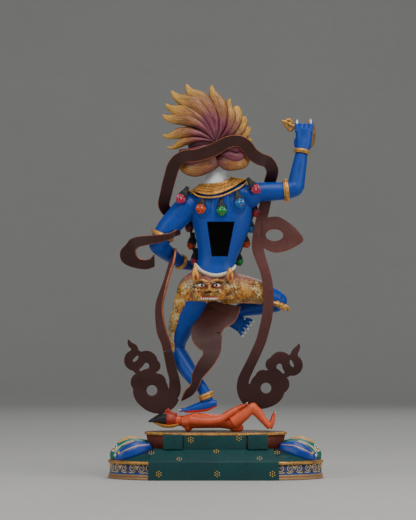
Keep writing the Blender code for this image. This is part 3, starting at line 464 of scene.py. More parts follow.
def copies_tree():
    """Sets a pattern piece on every point, turned and sized by the point's own attributes."""
    tree, given, result = tree_named("statue_copies", [
        ("Pattern", "Object", None), ("Size", "Float", 1.0), ("Paint", "Material", None)])
    pattern = add(tree, "GeometryNodeObjectInfo", {"Object": given.outputs["Pattern"]})
    turn = add(tree, "GeometryNodeInputNamedAttribute", {"Name": "turn"}, data_type="FLOAT_VECTOR")
    size = add(tree, "GeometryNodeInputNamedAttribute", {"Name": "size"}, data_type="FLOAT_VECTOR")
    as_turn = add(tree, "FunctionNodeEulerToRotation", {0: turn.outputs[0]})
    sized = add(tree, "ShaderNodeVectorMath", {0: size.outputs[0], "Scale": given.outputs["Size"]}, operation="SCALE")
    copies = add(tree, "GeometryNodeInstanceOnPoints", {
        "Points": given.outputs["Geometry"], "Instance": pattern.outputs["Geometry"],
        "Rotation": as_turn.outputs[0], "Scale": sized.outputs[0]})
    real = add(tree, "GeometryNodeRealizeInstances", {0: copies.outputs[0]})
    dressed = add(tree, "GeometryNodeSetMaterial", {"Geometry": real.outputs[0], "Material": given.outputs["Paint"]})
    tree.links.new(dressed.outputs[0], result.inputs[0])
    return tree


def beads_tree():
    """Strings beads along a line of edges, each turned to follow it."""
    tree, given, result = tree_named("statue_beads", [
        ("Spacing", "Float", 0.002), ("Radius", "Float", 0.001), ("Stretch", "Float", 1.0),
        ("Paint", "Material", None)])
    line = add(tree, "GeometryNodeMeshToCurve", {0: given.outputs["Geometry"]})
    strung = add(tree, "GeometryNodeResampleCurve", {"Curve": line.outputs[0], "Length": given.outputs["Spacing"]},
        mode="LENGTH")
    bead = add(tree, "GeometryNodeMeshIcoSphere", {"Radius": given.outputs["Radius"], "Subdivisions": 2})
    way = add(tree, "GeometryNodeInputTangent")
    turn = add(tree, "FunctionNodeAlignRotationToVector", {"Vector": way.outputs[0]}, axis="X")
    size = add(tree, "ShaderNodeCombineXYZ", {0: given.outputs["Stretch"], 1: 1.0, 2: 1.0})
    copies = add(tree, "GeometryNodeInstanceOnPoints", {
        "Points": strung.outputs[0], "Instance": bead.outputs[0], "Rotation": turn.outputs[0],
        "Scale": size.outputs[0]})
    real = add(tree, "GeometryNodeRealizeInstances", {0: copies.outputs[0]})
    smooth = add(tree, "GeometryNodeSetShadeSmooth", {0: real.outputs[0]})
    dressed = add(tree, "GeometryNodeSetMaterial", {"Geometry": smooth.outputs[0],
        "Material": given.outputs["Paint"]})
    tree.links.new(dressed.outputs[0], result.inputs[0])
    return tree


def grown(obj, tree, values):
    """Runs a tree on an object with inputs given by name, and keeps the plain result."""
    step = obj.modifiers.new("growth", "NODES")
    step.node_group = tree
    for item in tree.interface.items_tree:
        if item.in_out == "INPUT" and item.name in values:
            step[item.identifier] = values[item.name]
    apply_modifiers(obj)
    return obj


def copied(name, pattern, places, material, size=1.0):
    """Copies of a pattern at places given as point, rotation matrix, size and tint."""
    mesh = bpy.data.meshes.new(name)
    mesh.from_pydata([tuple(p[0]) for p in places], [], [])
    store(mesh, "turn", [tuple(p[1].to_euler()) for p in places], "FLOAT_VECTOR")
    store(mesh, "size", [p[2] if isinstance(p[2], tuple) else (p[2],) * 3 for p in places], "FLOAT_VECTOR")
    store(mesh, "tint", [(*(p[3] if len(p) > 3 else (1, 1, 1)), 1.0) for p in places], "FLOAT_COLOR")
    return grown(linked(name, mesh), copies_tree(), {"Pattern": pattern, "Size": size, "Paint": material})


def beaded(name, points, material, spacing, radius, closed=False, stretch=1.0):
    """A string of beads through points in metres."""
    mesh = bpy.data.meshes.new(name)
    count = len(points)
    edges = [(k, (k + 1) % count) for k in range(count if closed else count - 1)]
    mesh.from_pydata([tuple(p) for p in points], edges, [])
    return grown(linked(name, mesh), beads_tree(), {"Spacing": spacing, "Radius": radius, "Stretch": stretch,
        "Paint": material})


def discard(*objects):
    for obj in objects:
        bpy.data.objects.remove(obj)


def facing(direction, up=(0, 0, 1)):
    """A rotation whose -Y looks along a direction and whose Z stays upright."""
    back = -Vector(direction).normalized()
    side = back.cross(Vector(up)).normalized()
    return Matrix((side, back, side.cross(back))).transposed()


# The plinth
LOWER_HALF = ((PLINTH_HIGH[0] - PLINTH_LOW[0]) / 2 / MM, 60.44)
UPPER_HALF = (71, 42.86)
OVAL_Y = 55.0 - LOWER_HALF[1]
BACK_SHARE = 0.82


def oval_ring(mesh, half_width, half_depth, cut, height, sides=128):
    """A ring round an oval whose back is cut flat."""
    ring = []
    for k in range(sides):
        angle = 2 * pi * (k + 0.5) / sides
        y = max(half_depth * sin(angle), -cut)
        ring.append(mesh.verts.new((half_width * cos(angle) * MM, (y + OVAL_Y) * MM, height * MM)))
    return ring


def turned_band(name, profile, material, lid=False):
    """A moulding through insets from an oval, given as half width, half depth, back cut and height."""
    mesh = bmesh.new()
    rings = [oval_ring(mesh, *row) for row in profile]
    skin_rings(mesh, rings)
    if not lid:
        bmesh.ops.dissolve_degenerate(mesh, dist=1e-7, edges=mesh.edges)
    return object_from(mesh, name, material)


def moulding(outer, cut, low, high, bulge, rows=7):
    """Rows of a rounded band between two heights."""
    profile = []
    for k in range(rows):
        angle = pi * k / (rows - 1) - pi / 2
        out = cos(angle) * bulge
        height = (low + high) / 2 + sin(angle) * (high - low) / 2
        profile.append((outer[0] + out - bulge, outer[1] + out - bulge, cut + out - bulge, height))
    return profile


def slab(name, outline, low, high, material, bevel=0.5):
    """A straight-sided block through an outline in x and y, with its edges rounded."""
    mesh = bmesh.new()
    rings = [[mesh.verts.new((x * MM, y * MM, z * MM)) for x, y in outline] for z in (low, high)]
    skin_rings(mesh, rings)
    obj = object_from(mesh, name, material)
    modify(obj, "BEVEL", width=bevel * MM, segments=2, limit_method="ANGLE", harden_normals=False)
    apply_modifiers(obj)
    obj.data.set_sharp_from_angle(angle=radians(50))
    return obj


def oval_line(half_width, half_depth, cut, height, first, last, steps=200):
    """Points along an oval between two angles, in metres."""
    points = []
    for k in range(steps + 1):
        angle = radians(first + (last - first) * k / steps)
        y = max(half_depth * sin(angle), -cut)
        points.append(Vector((half_width * cos(angle) * MM, (y + OVAL_Y) * MM, height * MM)))
    return points


def spaced(points, count):
    """Equally spaced points along a line, each with the direction of the line there."""
    reach = [0.0]
    for a, b in zip(points, points[1:]):
        reach.append(reach[-1] + (b - a).length)
    found = []
    for k in range(count):
        want = reach[-1] * k / (count - 1)
        i = min(range(len(points) - 1), key=lambda n: abs(reach[n] - want))
        found.append((points[i], (points[i + 1] - points[i]).normalized()))
    return found


def spiral(turns, radius, thickness, steps=34):
    """A flat scroll of round wire in x and z that stands off the face y = 0."""
    rows = []
    for k in range(steps + 1):
        t = k / steps
        angle = t * turns * 2 * pi
        r = radius * (1 - 0.82 * t)
        rows.append((r * cos(angle), 0, r * sin(angle), thickness * (1 - 0.4 * t)))
    return rows


def pattern(name, rows_list, extra=None):
    """A small template at the origin, made of round wires given in millimetres, to be copied."""
    clay = Clay()
    base = PATTERN_BASE
    for rows in rows_list:
        clay.limb([(x, y, z + base, r) for x, y, z, r in rows], DEEP, 6, steps=1)
    if extra:
        extra(clay, base)
    return clay.plain(name)


def dot_flower(clay, base):
    for k in range(7):
        angle = radians(60 * k + 30)
        reach = 0.0 if k == 6 else 4.0
        clay.ball((reach * cos(angle), 0, base + reach * sin(angle)), (1, 0.45, 1), detail=10)


PETAL_LONG = 34.0


def petal_half(t, half):
    """Half the width of a petal at a share of its length."""
    tip = max(0, 1 - ((t - 0.62) / 0.385) ** 2) ** 0.5 if t > 0.62 else 1.0
    return half * (0.42 + 0.58 * min(1, t / 0.5) ** 0.8) * tip


def petal_top(t, u, high=14.0):
    """The height of a petal's pillow at a share of its length and of its half width."""
    swell = max(0, 1 - max(0, (t - 0.35) / 0.65) ** 2.6) ** 0.5 * min(1, 0.55 + 0.45 * t / 0.35)
    crown = max(0, 1 - abs(u) ** 2.6) ** 0.5
    heart = max(0, 1 - (u / 0.52) ** 2) * max(0, 1 - ((t - 0.42) / 0.34) ** 2)
    return high * swell * crown + 1.6 * min(1, heart * 1.6)


def petal_blank(name, material, half=9.2):
    """A pillow-shaped lotus petal along +X with a raised heart and a rolled tip."""
    mesh = bmesh.new()
    rows, columns = 34, 24
    places, inner, rims = [], [], []
    for i in range(rows + 1):
        t = i / rows
        width = petal_half(t, half)
        for k in range(columns + 1):
            u = 2 * k / columns - 1
            heart = max(0, 1 - (u / 0.52) ** 2) * max(0, 1 - ((t - 0.42) / 0.34) ** 2)
            line = exp(-((abs(u) - 0.66) / 0.09) ** 2) * (1 if t < 0.8 else 0)
            places.append((t * PETAL_LONG, u * width, petal_top(t, u) - 0.35 * line))
            inner.append(min(1, heart * 3))
            rims.append(max(exp(-((abs(u) - 0.74) / 0.07) ** 2) * (1 if 0.05 < t < 0.84 else 0),
                exp(-((t - 0.87) / 0.035) ** 2) * (1 if abs(u) < 0.8 else 0)))
    grid = [mesh.verts.new(Vector(p) * MM) for p in places]
    across = columns + 1
    for i in range(rows):
        for k in range(columns):
            a = i * across + k
            mesh.faces.new((grid[a], grid[a + 1], grid[a + 1 + across], grid[a + across]))
    under = [mesh.verts.new((p[0] * MM, p[1] * MM * 0.96, -3.0 * MM)) for p in places]
    for i in range(rows):
        for k in range(columns):
            a = i * across + k
            mesh.faces.new((under[a], under[a + across], under[a + 1 + across], under[a + 1]))
    rim = [i * across for i in range(rows + 1)] + [rows * across + k for k in range(1, across)]
    rim += [i * across + columns for i in range(rows - 1, -1, -1)] + [k for k in range(columns - 1, 0, -1)]
    for a, b in zip(rim, rim[1:] + rim[:1]):
        mesh.faces.new((grid[a], grid[b], under[b], under[a]))
    bmesh.ops.remove_doubles(mesh, verts=mesh.verts, dist=1e-6)
    obj = object_from(mesh, name, material)
    count = len(obj.data.vertices)
    heart_values, rim_values = np.zeros(count), np.zeros(count)
    spots = {tuple(round(c, 6) for c in Vector(p) * MM): (h, r) for p, h, r in zip(places, inner, rims)}
    for vertex in obj.data.vertices:
        found = spots.get(tuple(round(c, 6) for c in vertex.co))
        if found:
            heart_values[vertex.index], rim_values[vertex.index] = found
    store(obj.data, "heart", heart_values)
    store(obj.data, "line", rim_values)
    return obj


def petal_finish(tones):
    finish = Finish("petal_paint", roughness=0.34, coat=0.25, broad=60.0)
    tree = finish.tree
    own = attribute(tree, "tint", "Color")
    patchy = ramp(tree, finish.broad, [(0.35, grey(0.75)), (0.6, grey(1))])
    body = blend(tree, 1, own, patchy, "MULTIPLY")
    heart = reckon(tree, "MULTIPLY", attribute(tree, "heart"), attribute(tree, "golden"))
    gold = ramp(tree, finish.fine, [(0.35, scaled(tones.gold, 0.7)), (0.6, scaled(tones.gold, 1.4))])
    body = blend(tree, reckon(tree, "GREATER_THAN", heart, 0.45), body, gold)
    edge = ramp(tree, attribute(tree, "line"), [(0.55, grey(0)), (0.72, grey(1))])
    return finish.done(blend(tree, edge, body, gold), (0.01, 0.02, 0.02))


def make_plinth(sizes, tones):
    gold = gilded("rim_gold", scaled(tones.gold, 0.92))
    pale = painted("foot_gold", "#B08A62", roughness=0.42, metallic=0.35, broad=30.0, fine=300.0)
    green = painted("back_green", tones.ground, roughness=0.5, broad=26.0, fine=380.0, relief=0.25, coat=0.08)
    brown = painted("tier_brown", tones.brown, roughness=0.5, broad=70.0, relief=0.3)
    band = painted("band_blue_grey", "#39436A", roughness=0.5)
    strip = painted("strip_blue", "#174C9C", roughness=0.4)
    maroon = painted("shoulder_maroon", "#5C1A20", roughness=0.5)
    grey_top = painted("top_brown", "#6B5A4C", roughness=0.55, broad=40.0)
    (a, b), (c, d) = LOWER_HALF, UPPER_HALF
    cut = b * BACK_SHARE - 1.5
    high_cut = d * BACK_SHARE - 2.5
    parts = [
        turned_band("foot_low", moulding((a, b), cut, 0, 3, 1.5), pale),
        turned_band("foot_high", moulding((a - 0.6, b - 0.6), cut, 2.8, 5.4, 1.2), pale),
        turned_band("blue_strip", [(a - 2.2, b - 2.2, cut - 2, z) for z in (4.6, 7.2)], strip),
        turned_band("scroll_ground", [(a - 2.5, b - 2.5, cut - 2.3, z) for z in (4, 15.9)], band),
        turned_band("lower_rim", moulding((a, b), cut, 15.2, 18.5, 1.3), gold),
        turned_band("shoulder", [(a - 1.5, b - 1.5, cut, 17.6), (a - 2.5, b - 2.5, cut, 18.6),
                                 (c - 4, d - 4, high_cut - 2, 30), (c - 5, d - 5, high_cut - 3, 30.5)], maroon),
        turned_band("tier_side", [(c - 4, d - 4, high_cut - 2, 28.5), (c - 2.6, d - 2.6, high_cut - 1.3, 38),
                                  (c - 1.6, d - 1.6, high_cut - 0.8, 44)], brown),
        turned_band("tier_top", [(c - 2.2, d - 2.2, high_cut - 1.2, z) for z in (43.5, 46.2)], grey_top, True),
    ]
    back, low_back = PLINTH_LOW[1] / MM, OVAL_Y - high_cut
    half, middle = 64.35, -2.25
    lower = bmesh.new()
    steps = [(back, 0), (back, 18.4), (low_back - 0.3, 30), (low_back + 12, 30.6), (low_back + 12, 0)]
    rings = []
    for x in (-half, half):
        rings.append([lower.verts.new(((x * (0.92 if z > 25 else 1) + middle) * MM, y * MM, z * MM))
            for y, z in steps])
    skin_rings(lower, rings)
    back_panel = object_from(lower, "back_panel", green)
    modify(back_panel, "BEVEL", width=0.0006, segments=3, limit_method="ANGLE")
    apply_modifiers(back_panel)
    back_panel.data.set_sharp_from_angle(angle=radians(40))
    parts.append(back_panel)
    wing = bmesh.new()
    for side in (-1, 1):
        rings = []
        for k in range(13):
            angle = radians(-57 + 29 * k / 12)
            rim = Vector((side * (a - 1.6) * cos(angle), max((b - 1.6) * sin(angle), -cut) + OVAL_Y, 18.5))
            root = Vector((side * (c - 4) * cos(angle), max((d - 4) * sin(angle), -high_cut) + OVAL_Y, 30.1))
            under = Vector((0, 0, 4))
            rings.append([wing.verts.new(p * MM) for p in (rim, root, root - under, rim - under)])
        skin_rings(wing, rings)
    parts.append(object_from(wing, "back_wings", green))
    panel = [(-32.4, low_back - 0.6), (30.3, low_back - 0.6), (30.3, low_back + 12), (-32.4, low_back + 12)]
    parts.append(slab("upper_panel", panel, 29.6, 44.7, green))
    for side in (-1, 1):
        near, far = (-32.7, -52) if side < 0 else (31.8, 51.3)
        outline = [(far, low_back - 2.4), (near, low_back - 2.4), (near, low_back + 12), (far, low_back + 12)]
        parts.append(slab(f"back_block_{side}", outline, 29.8, 44.8, green, 0.8))
    plinth = merged("painted_plinth", parts)
    settle(plinth, "plinth", "plinth")
    rim = oval_line(c - 0.9, d - 0.9, high_cut - 0.1, 45.4, -90, 270, 400)[:-1]
    settle(beaded("rim_beads", rim, gold, 1.75 * sizes.rim_bead, sizes.rim_bead, True, 1.15), "plinth")
    lip = Clay()
    lip.limb([(p.x / MM, p.y / MM, 44.4, 1) for p in rim[::4]], UP, 10, steps=1, closed=True)
    settle(lip.plain("rim_lip", gold), "plinth")
    flower = pattern("flower_pattern", [], dot_flower)
    rear = Matrix.Identity(3)
    run = Vector((0, low_back - 0.3 - back, 30.0 - 18.4))
    tilted = facing(Vector((0, -run.z, run.y)))
    blooms = [((x, back, 6.6), rear) for x in (-56, 1.3, 55.6)]
    blooms += [((x, back + run.y * t, 18.4 + run.z * t), tilted) for x, t in ((-36, 0.24), (43, 0.3), (-63.5, 0.72),
        (60.5, 0.76), (0.5, 0.86))]
    blooms += [((x, low_back - 0.6, z), rear) for x, z in ((-24.7, 39.4), (22.9, 41))]
    dots = painted("dot_gold", "#E3B046", roughness=0.4, metallic=0.2)
    places = [(Vector(p) * MM, turn, 1) for p, turn in blooms]
    settle(copied("dot_flowers", flower, places, dots, sizes.dot / MM), "plinth")
    scroll = pattern("scroll_pattern", [spiral(1.6, 4.2, 0.6), [(-4.4, 0, -3.6, 0.5), (-2.2, 0, -4.2, 0.6),
        (1, 0, -4.1, 0.55), (3.6, 0, -2.4, 0.3)], [(3.9, 0, 3.2, 0.35), (4.6, 0, 1.2, 0.6), (4.4, 0, -1.4, 0.4)]])
    band_line = oval_line(a - 2.4, b - 2.4, cut - 2.2, 11.3, -53, 233)
    places = []
    for k, (point, way) in enumerate(spaced(band_line, 38)):
        turn = facing(Vector((way.y, -way.x, 0)))
        places.append((point, turn, (1.0 if k % 2 else -1, 1, 1)))
    scroll_gold = painted("scroll_beige", "#CDB48C", "#6A4A2C", roughness=0.42)
    scrolls = copied("band_scrolls", scroll, places, scroll_gold)
    settle(scrolls, "plinth")
    discard(flower, scroll)


def make_petals(sizes, tones):
    (a, b), (c, d) = LOWER_HALF, UPPER_HALF
    count = sizes.petal_count
    line = oval_line(a - 2.4, b - 2.4, b, 18.9, -19, 199, 600)
    whole = oval_line(c - 4.5, d - 4.5, d, 30.4, -19, 199, 600)
    blank = petal_blank("petal_pattern", petal_finish(tones), half=sizes.petal_width / MM / 2)
    blue, green, dark = tones.petal_blue, tones.petal_green, linear("#0E5A2C")
    places, golden, scrolls, drops = [], [], [], []
    step = len(line) - 1
    for k, (point, _) in enumerate(spaced(line, count)):
        i = min(range(step + 1), key=lambda n: (line[n] - point).length)
        inner = whole[i]
        way = (point - inner).normalized()
        side = Vector((0, 0, 1)).cross(way).normalized()
        turn = Matrix((way, side, way.cross(side))).transposed()
        rank = min(k, count - 1 - k) % 3
        stretch = (point - inner).length / MM / PETAL_LONG
        high = (0.72, 1, 0.64)[rank] * (0.7 + 0.3 * stretch)
        place = (inner + way * 0.0002, turn, (stretch, 1, high), (blue, green, dark)[rank])
        places.append(place)
        golden.append(0.0 if rank == 0 else 1)
        if rank == 1:
            scrolls.append(place)
        else:
            drops.append((point - way * 0.0022 + way.cross(side) * 0.0036, turn, 1))
    petals = copied("lotus_petals", blank, places, blank.data.materials[0])
    each = len(petals.data.vertices) // count
    store(petals.data, "golden", np.repeat(golden, each))
    settle(petals, "plinth")

    half = sizes.petal_width / MM / 2

    def on_petal(x, y, radius, base):
        t = x / PETAL_LONG
        return (x, y, base + petal_top(t, min(0.98, abs(y) / petal_half(t, half))) + 0.1, radius)

    def curls(clay, base):
        for lean in (-1, 1):
            rows = [(27.2 + x, lean * (4.2 + z), r) for x, _, z, r in spiral(1.3, 2.9, 0.55)]
            clay.limb([on_petal(*row, base) for row in rows], UP, 7, steps=1)
            stem = [(30, 6.6, 0.4), (24, 7.4, 0.6), (17, 6.6, 0.5), (10, 5, 0.25)]
            clay.limb([on_petal(x, lean * y, r, base) for x, y, r in stem], UP, 7, steps=4)

    def pearls(clay, base):
        clay.ball((0, 0, base), (2, 2.2, 1.8), detail=10)

    curl = pattern("curl_pattern", [], curls)
    pearl = pattern("pearl_pattern", [], pearls)
    white = painted("petal_white", "#E6E8E6", roughness=0.4)
    settle(copied("petal_scrolls", curl, scrolls, white), "plinth")
    settle(copied("petal_pearls", pearl, drops, white), "plinth")
    discard(blank, curl, pearl)


# The trampled body
def make_trampled(sizes, tones):
    clay = Clay()
    side = {"across": DEEP}
    clay.limb([(-34, -5, 55.5, 11, 5.2), (-26, -5, 56.5, 14.5, 7.3), (-17, -5, 57.2, 14.5, 7.7),
        (-6, -5, 56.8, 11.6, 7.2), (6, -5, 56.4, 10.6, 6.8), (18, -5, 56, 13.5, 8.2), (25, -5, 54, 11, 6.7)],
        sides=24, **side)
    clay.limb([(-42, -5, 57.5, 5.4, 5.2), (-33, -5, 57, 5.6, 5.4)], **side)
    for y in (-9.5, -0.5):
        clay.ball((-20, y, 63.2), (5, 4.2, 1.7))
    for k in range(4):
        for lean in (-1, 1):
            clay.limb([(-12 + 3.2 * k, -5 + lean * 3, 63.6 - 0.25 * k, 0.8), (-11 + 3.2 * k, -5 + lean * 9,
                61.2 - 0.4 * k, 1.1), (-10 + 3.2 * k, -5 + lean * 11.6, 57.4 - 0.3 * k, 0.8)], sides=8)
    for near, y in ((-1, -14.5), (1, 5.5)):
        knee = (36.6, y, 70.6)
        clay.limb([(17, -5 + near * 8.5, 55.5, 7.5), (27, y, 62.5, 6), (*knee, 4.8)], **side)
        clay.ball((knee[0] + 0.6, y, 71), (4.6, 4.2, 4.4))
        clay.limb([(*knee, 4.7), (42, y, 65.2, 4.9), (48, y + near * 0.5, 57.5, 3.6), (54, y + near, 50.7, 3.1)],
            **side)
        clay.limb([(53.6, y + near, 49.9, 3.3, 2.7), (56.3, y + near, 56, 3.6, 2.4), (58.2, y + near, 63, 3.9, 1.7)],
            **side)
        for k in range(5):
            clay.limb([(58.1, y + near + (k - 2) * 1.75, 62.5, 0.95), (58.7, y + near + (k - 2) * 1.85,
                66.4 - abs(k - 1) * 0.35, 0.8)], sides=7, **side)
        hand = (22, y * 0.85 - 3, 69.5)
        clay.limb([(-26, -5 + near * 12.5, 58.3, 4.7), (-10, -5 + near * 15.5, 56.9, 3.9), (4, -5 + near * 14.5, 58.8,
            3.5), (14, -5 + near * 13, 65, 2.8), (*hand, 2.6)], **side)
        clay.limb([(*hand, 3.4, 1.9), (27, y * 0.9 - 1.5, 72.4, 3.6, 1.6)], steps=3, **side)
        for k in range(4):
            clay.limb([(26.5, y * 0.9 - 1.5 + (k - 1.5) * 1.9, 72.3, 1), (31.6, y * 0.94 - 0.9 + (k - 1.5) * 1.9,
                74.6, 0.85)], sides=7, **side)
    clay.ball((-27.5, -5, 51), (4.2, 10, 5))
    clay.ball((21, -5, 50), (7, 9.5, 5))
    coral = painted("coral_skin", tones.coral, "#7A2412", roughness=0.42, broad=55.0, coat=0.12)
    body = clay.fused("trampled_figure", coral, 0.0005, 5, limit=90000)
    face = Clay()
    face.ball((-46, -5, 58.2), (9.8, 7.2, 7.2), detail=24)
    face.limb([(-42, -5, 57.5, 5, 5), (-37, -5, 57.3, 5, 5)], **side)
    face.ball((-41.5, -5, 63.2), (3.2, 3.4, 2.4))
    face.limb([(-51.2, -5, 64.4, 1.1), (-48.4, -5, 67.2, 1.5), (-46.8, -5, 67.6, 1.6), (-46.2, -5, 64.6, 1.4)],
        sides=10, **side)
    for lean in (-1, 1):
        face.ball((-48.8, -5 + lean * 3.1, 64.3), (1.9, 1.9, 1.1))
        face.limb([(-51.8, -5 + lean * 1.2, 65, 0.7), (-51.9, -5 + lean * 3.4, 64.9, 0.8), (-50.4, -5 + lean * 5.2,
            63.6, 0.5)], sides=8, **side)
        face.ball((-46.5, -5 + lean * 7, 58.5), (2.4, 1, 2.6))
    face.limb([(-43.7, -7.4, 65.2, 0.8), (-43.5, -5, 65.8, 0.95), (-43.7, -2.6, 65.2, 0.8)], sides=8, **side)
    red = painted("face_red", "#B03A28", "#4A100A", roughness=0.4, broad=90.0, coat=0.1)
    head = face.fused("trampled_face", red, 0.0004, 4, limit=60000)
    hair = Clay()
    hair.ball((-51.6, -5, 58.6), (6.6, 7.5, 7.4), detail=22)
    for k in range(9):
        angle = radians(-20 + 27.5 * k)
        y, z = cos(angle), sin(angle)
        hair.limb([(-50.5, -5 + 6.8 * y, 58.8 + 6.4 * z, 1.6), (-57, -5 + 4.4 * y, 58.2 + 3.8 * z, 1.5),
            (-67.2, -5 + 0.6 * y, 56 + 0.6 * z, 0.5)], sides=8)
    black = painted("hair_black", "#1C1F22", roughness=0.45, fine=900.0, relief=0.5)
    cap = hair.fused("trampled_hair", black, 0.00045, 3, limit=60000)
    under = Clay()
    for k in range(5):
        y = -5 + (k - 2) * 2.6
        under.limb([(-62, -5 + (k - 2) * 0.8, 55.6, 1), (-52, y, 52.2, 1.8), (-44, y, 51.9, 1.8),
            (-36.5, y, 53.6, 1.2)], sides=8)
    ochre = painted("hair_ochre", "#B0701E", roughness=0.45, stretch=(0.2, 1, 1))
    spread = under.fused("trampled_hair_spread", ochre, 0.00045, 3)
    nails = Clay()
    for near, y in ((-1, -14.5), (1, 5.5)):
        for k in range(5):
            nails.ball((59.3, y + near + (k - 2) * 1.85, 65.8 - abs(k - 1) * 0.35), (0.35, 0.6, 0.95), detail=8)
        for k in range(4):
            nails.ball((31.2, y * 0.94 - 0.9 + (k - 1.5) * 1.9, 75.2), (1, 0.62, 0.4), (0, -22, 0), detail=8)
    white = painted("nail_white", "#E4E2DC", roughness=0.35)
    tips = nails.plain("trampled_nails", white)
    settle(body, "trampled_body", "trampled_body")
    for piece in (head, cap, spread, tips):
        settle(piece, "trampled_body")


# The dancer
TORSO = [(-3, 0, 178, 24, 18), (-3, 0, 192, 26, 19), (-0.5, 0, 205, 21.5, 16), (1, 0, 217, 19, 14),
    (3.5, 0, 234, 23, 15.5), (5.5, 0, 254, 29, 17.5), (5, 0, 270, 31, 17), (3, 0, 282, 26, 14), (1, 0, 290, 15, 11.5)]
CAVITY = {"top": 255.5, "bottom": 221, "x": 5, "top_half": 13.75, "bottom_half": 8, "floor": 5.0}
BACK_HEADS = [((-34, -12.5, 279), "#CF3E60"), ((-14.8, -16.8, 268.6), "#DE5220"), ((5.9, -18.8, 266.4), "#1E9A48"),
    ((23.6, -17.2, 274.4), "#2A7CC4"), ((39, -12.6, 288.6), "#CF3E60")]
FRONT_HEADS = [((-33, 12, 266), "#2A7CC4"), ((-26, 17, 251), "#8A2A38"), ((-24, 19, 233.5), "#DE5220"),
    ((-20.5, 21, 218), "#CF3E60"), ((-8, 23, 204), "#1E9A48"), ((4, 24, 200), "#E8E2D0"), ((15, 23, 205), "#DE5220"),
    ((23, 20, 217), "#1E9A48"), ((30, 18, 235), "#DE5220"), ((35, 15, 250), "#2A7CC4"), ((39, 11, 266), "#A82838")]


def shape_trunk(clay):
    clay.limb(TORSO, sides=40, steps=8)
    clay.ball((-27, 0, 272), (13.5, 12, 12), detail=24)
    clay.ball((33, 0, 281), (13, 12, 11.5), detail=24)
    clay.limb([(6, 0, 286, 11.5, 10), (18, 0, 284.6, 12.5, 10.5), (30, 0, 282.5, 12, 10.5)], DEEP, 24)
    for x, z in ((-9, 257), (19, 259)):
        clay.ball((x, 14.5, z), (10.5, 9.5, 9.5), detail=24)
        clay.ball((x, 24, z - 0.5), (1.6, 1.4, 1.6))
    clay.ball((0, 7, 207), (17, 13, 13), detail=24)
    for lean, z in ((-1, 268), (1, 272)):
        clay.ball((5 + lean * 15, -12.6, z), (9.5, 4, 10.5), (0, lean * 14, 0), detail=20)
        clay.limb([(5 + lean * 5.2, -14.6, 284, 3.4, 1.6), (5 + lean * 5.6, -15.6, 262, 3.6, 2),
            (4 + lean * 4.8, -14, 236, 3.2, 1.8), (1 + lean * 4.4, -12.4, 214, 3.4, 1.6)], sides=14)


def shape_upper_limbs(clay):
    clay.limb([(-26, 0, 273, 12.5), (-36, 0, 262.5, 12), (-46.5, -1, 251, 11), (-53.5, 0.5, 241, 10),
        (-57.5, 2, 233, 9.2)], DEEP, 28)
    clay.ball((-57.5, 2, 232.8), (9.2, 9.2, 9.2), detail=28)
    clay.limb([(-57.5, 2, 232.5, 9.2), (-52, 9, 227.5, 8.6), (-45, 17, 222.5, 7.8), (-38, 25, 217.5, 6.6),
        (-31, 32, 213.5, 5.4), (-21, 38, 212.5, 5.2)], DEEP, 28)
    clay.limb([(32, 0, 281, 12.5), (42, 0.5, 285.3, 10.2), (56, 1.5, 286.2, 9.6), (70, 2, 287, 9),
        (77, 2.4, 289, 8.8)], DEEP, 28)
    clay.ball((78.8, 2.5, 289.8), (8.9, 8.9, 8.9), detail=28)
    clay.limb([(80, 2.8, 290, 8.8), (82.4, 5, 304, 7.8), (84.3, 6, 314, 7.1), (86, 7.4, 324, 6.2)], sides=28)


def shape_lower_limbs(clay):
    clay.limb([(-19, 2, 188, 16.5), (-26, 6, 171, 14), (-31, 12, 156.5, 11.8), (-35, 17, 146, 10.6),
        (-38.7, 20, 137, 9.7), (-41, 22, 127, 9.4)], sides=28)
    clay.ball((-43.5, 25, 126.5), (7, 6.5, 7.5), detail=20)
    clay.limb([(-41, 21, 128, 9), (-33.5, 14, 116, 9.3), (-26.5, 6, 105.5, 8.3), (-21, 0, 98, 7.2),
        (-13.5, -6, 89.5, 5.7), (-9.8, -7.3, 82, 5.6)], sides=28)
    clay.limb([(10, 3, 190, 15), (34, 12, 187, 12), (50, 18, 183, 10.3), (62, 23, 178, 9.4)], DEEP, 28)
    clay.ball((63.5, 24, 176.5), (8.6, 9, 9.2), detail=24)
    clay.limb([(63, 25, 175, 9), (48, 30, 171.5, 8.6), (28, 32, 168, 7.2), (16, 31.4, 163.4, 5.6)], across=DEEP,
        sides=28)


def finger(clay, stations, sides=10):
    clay.limb(stations, DEEP, sides, steps=4)


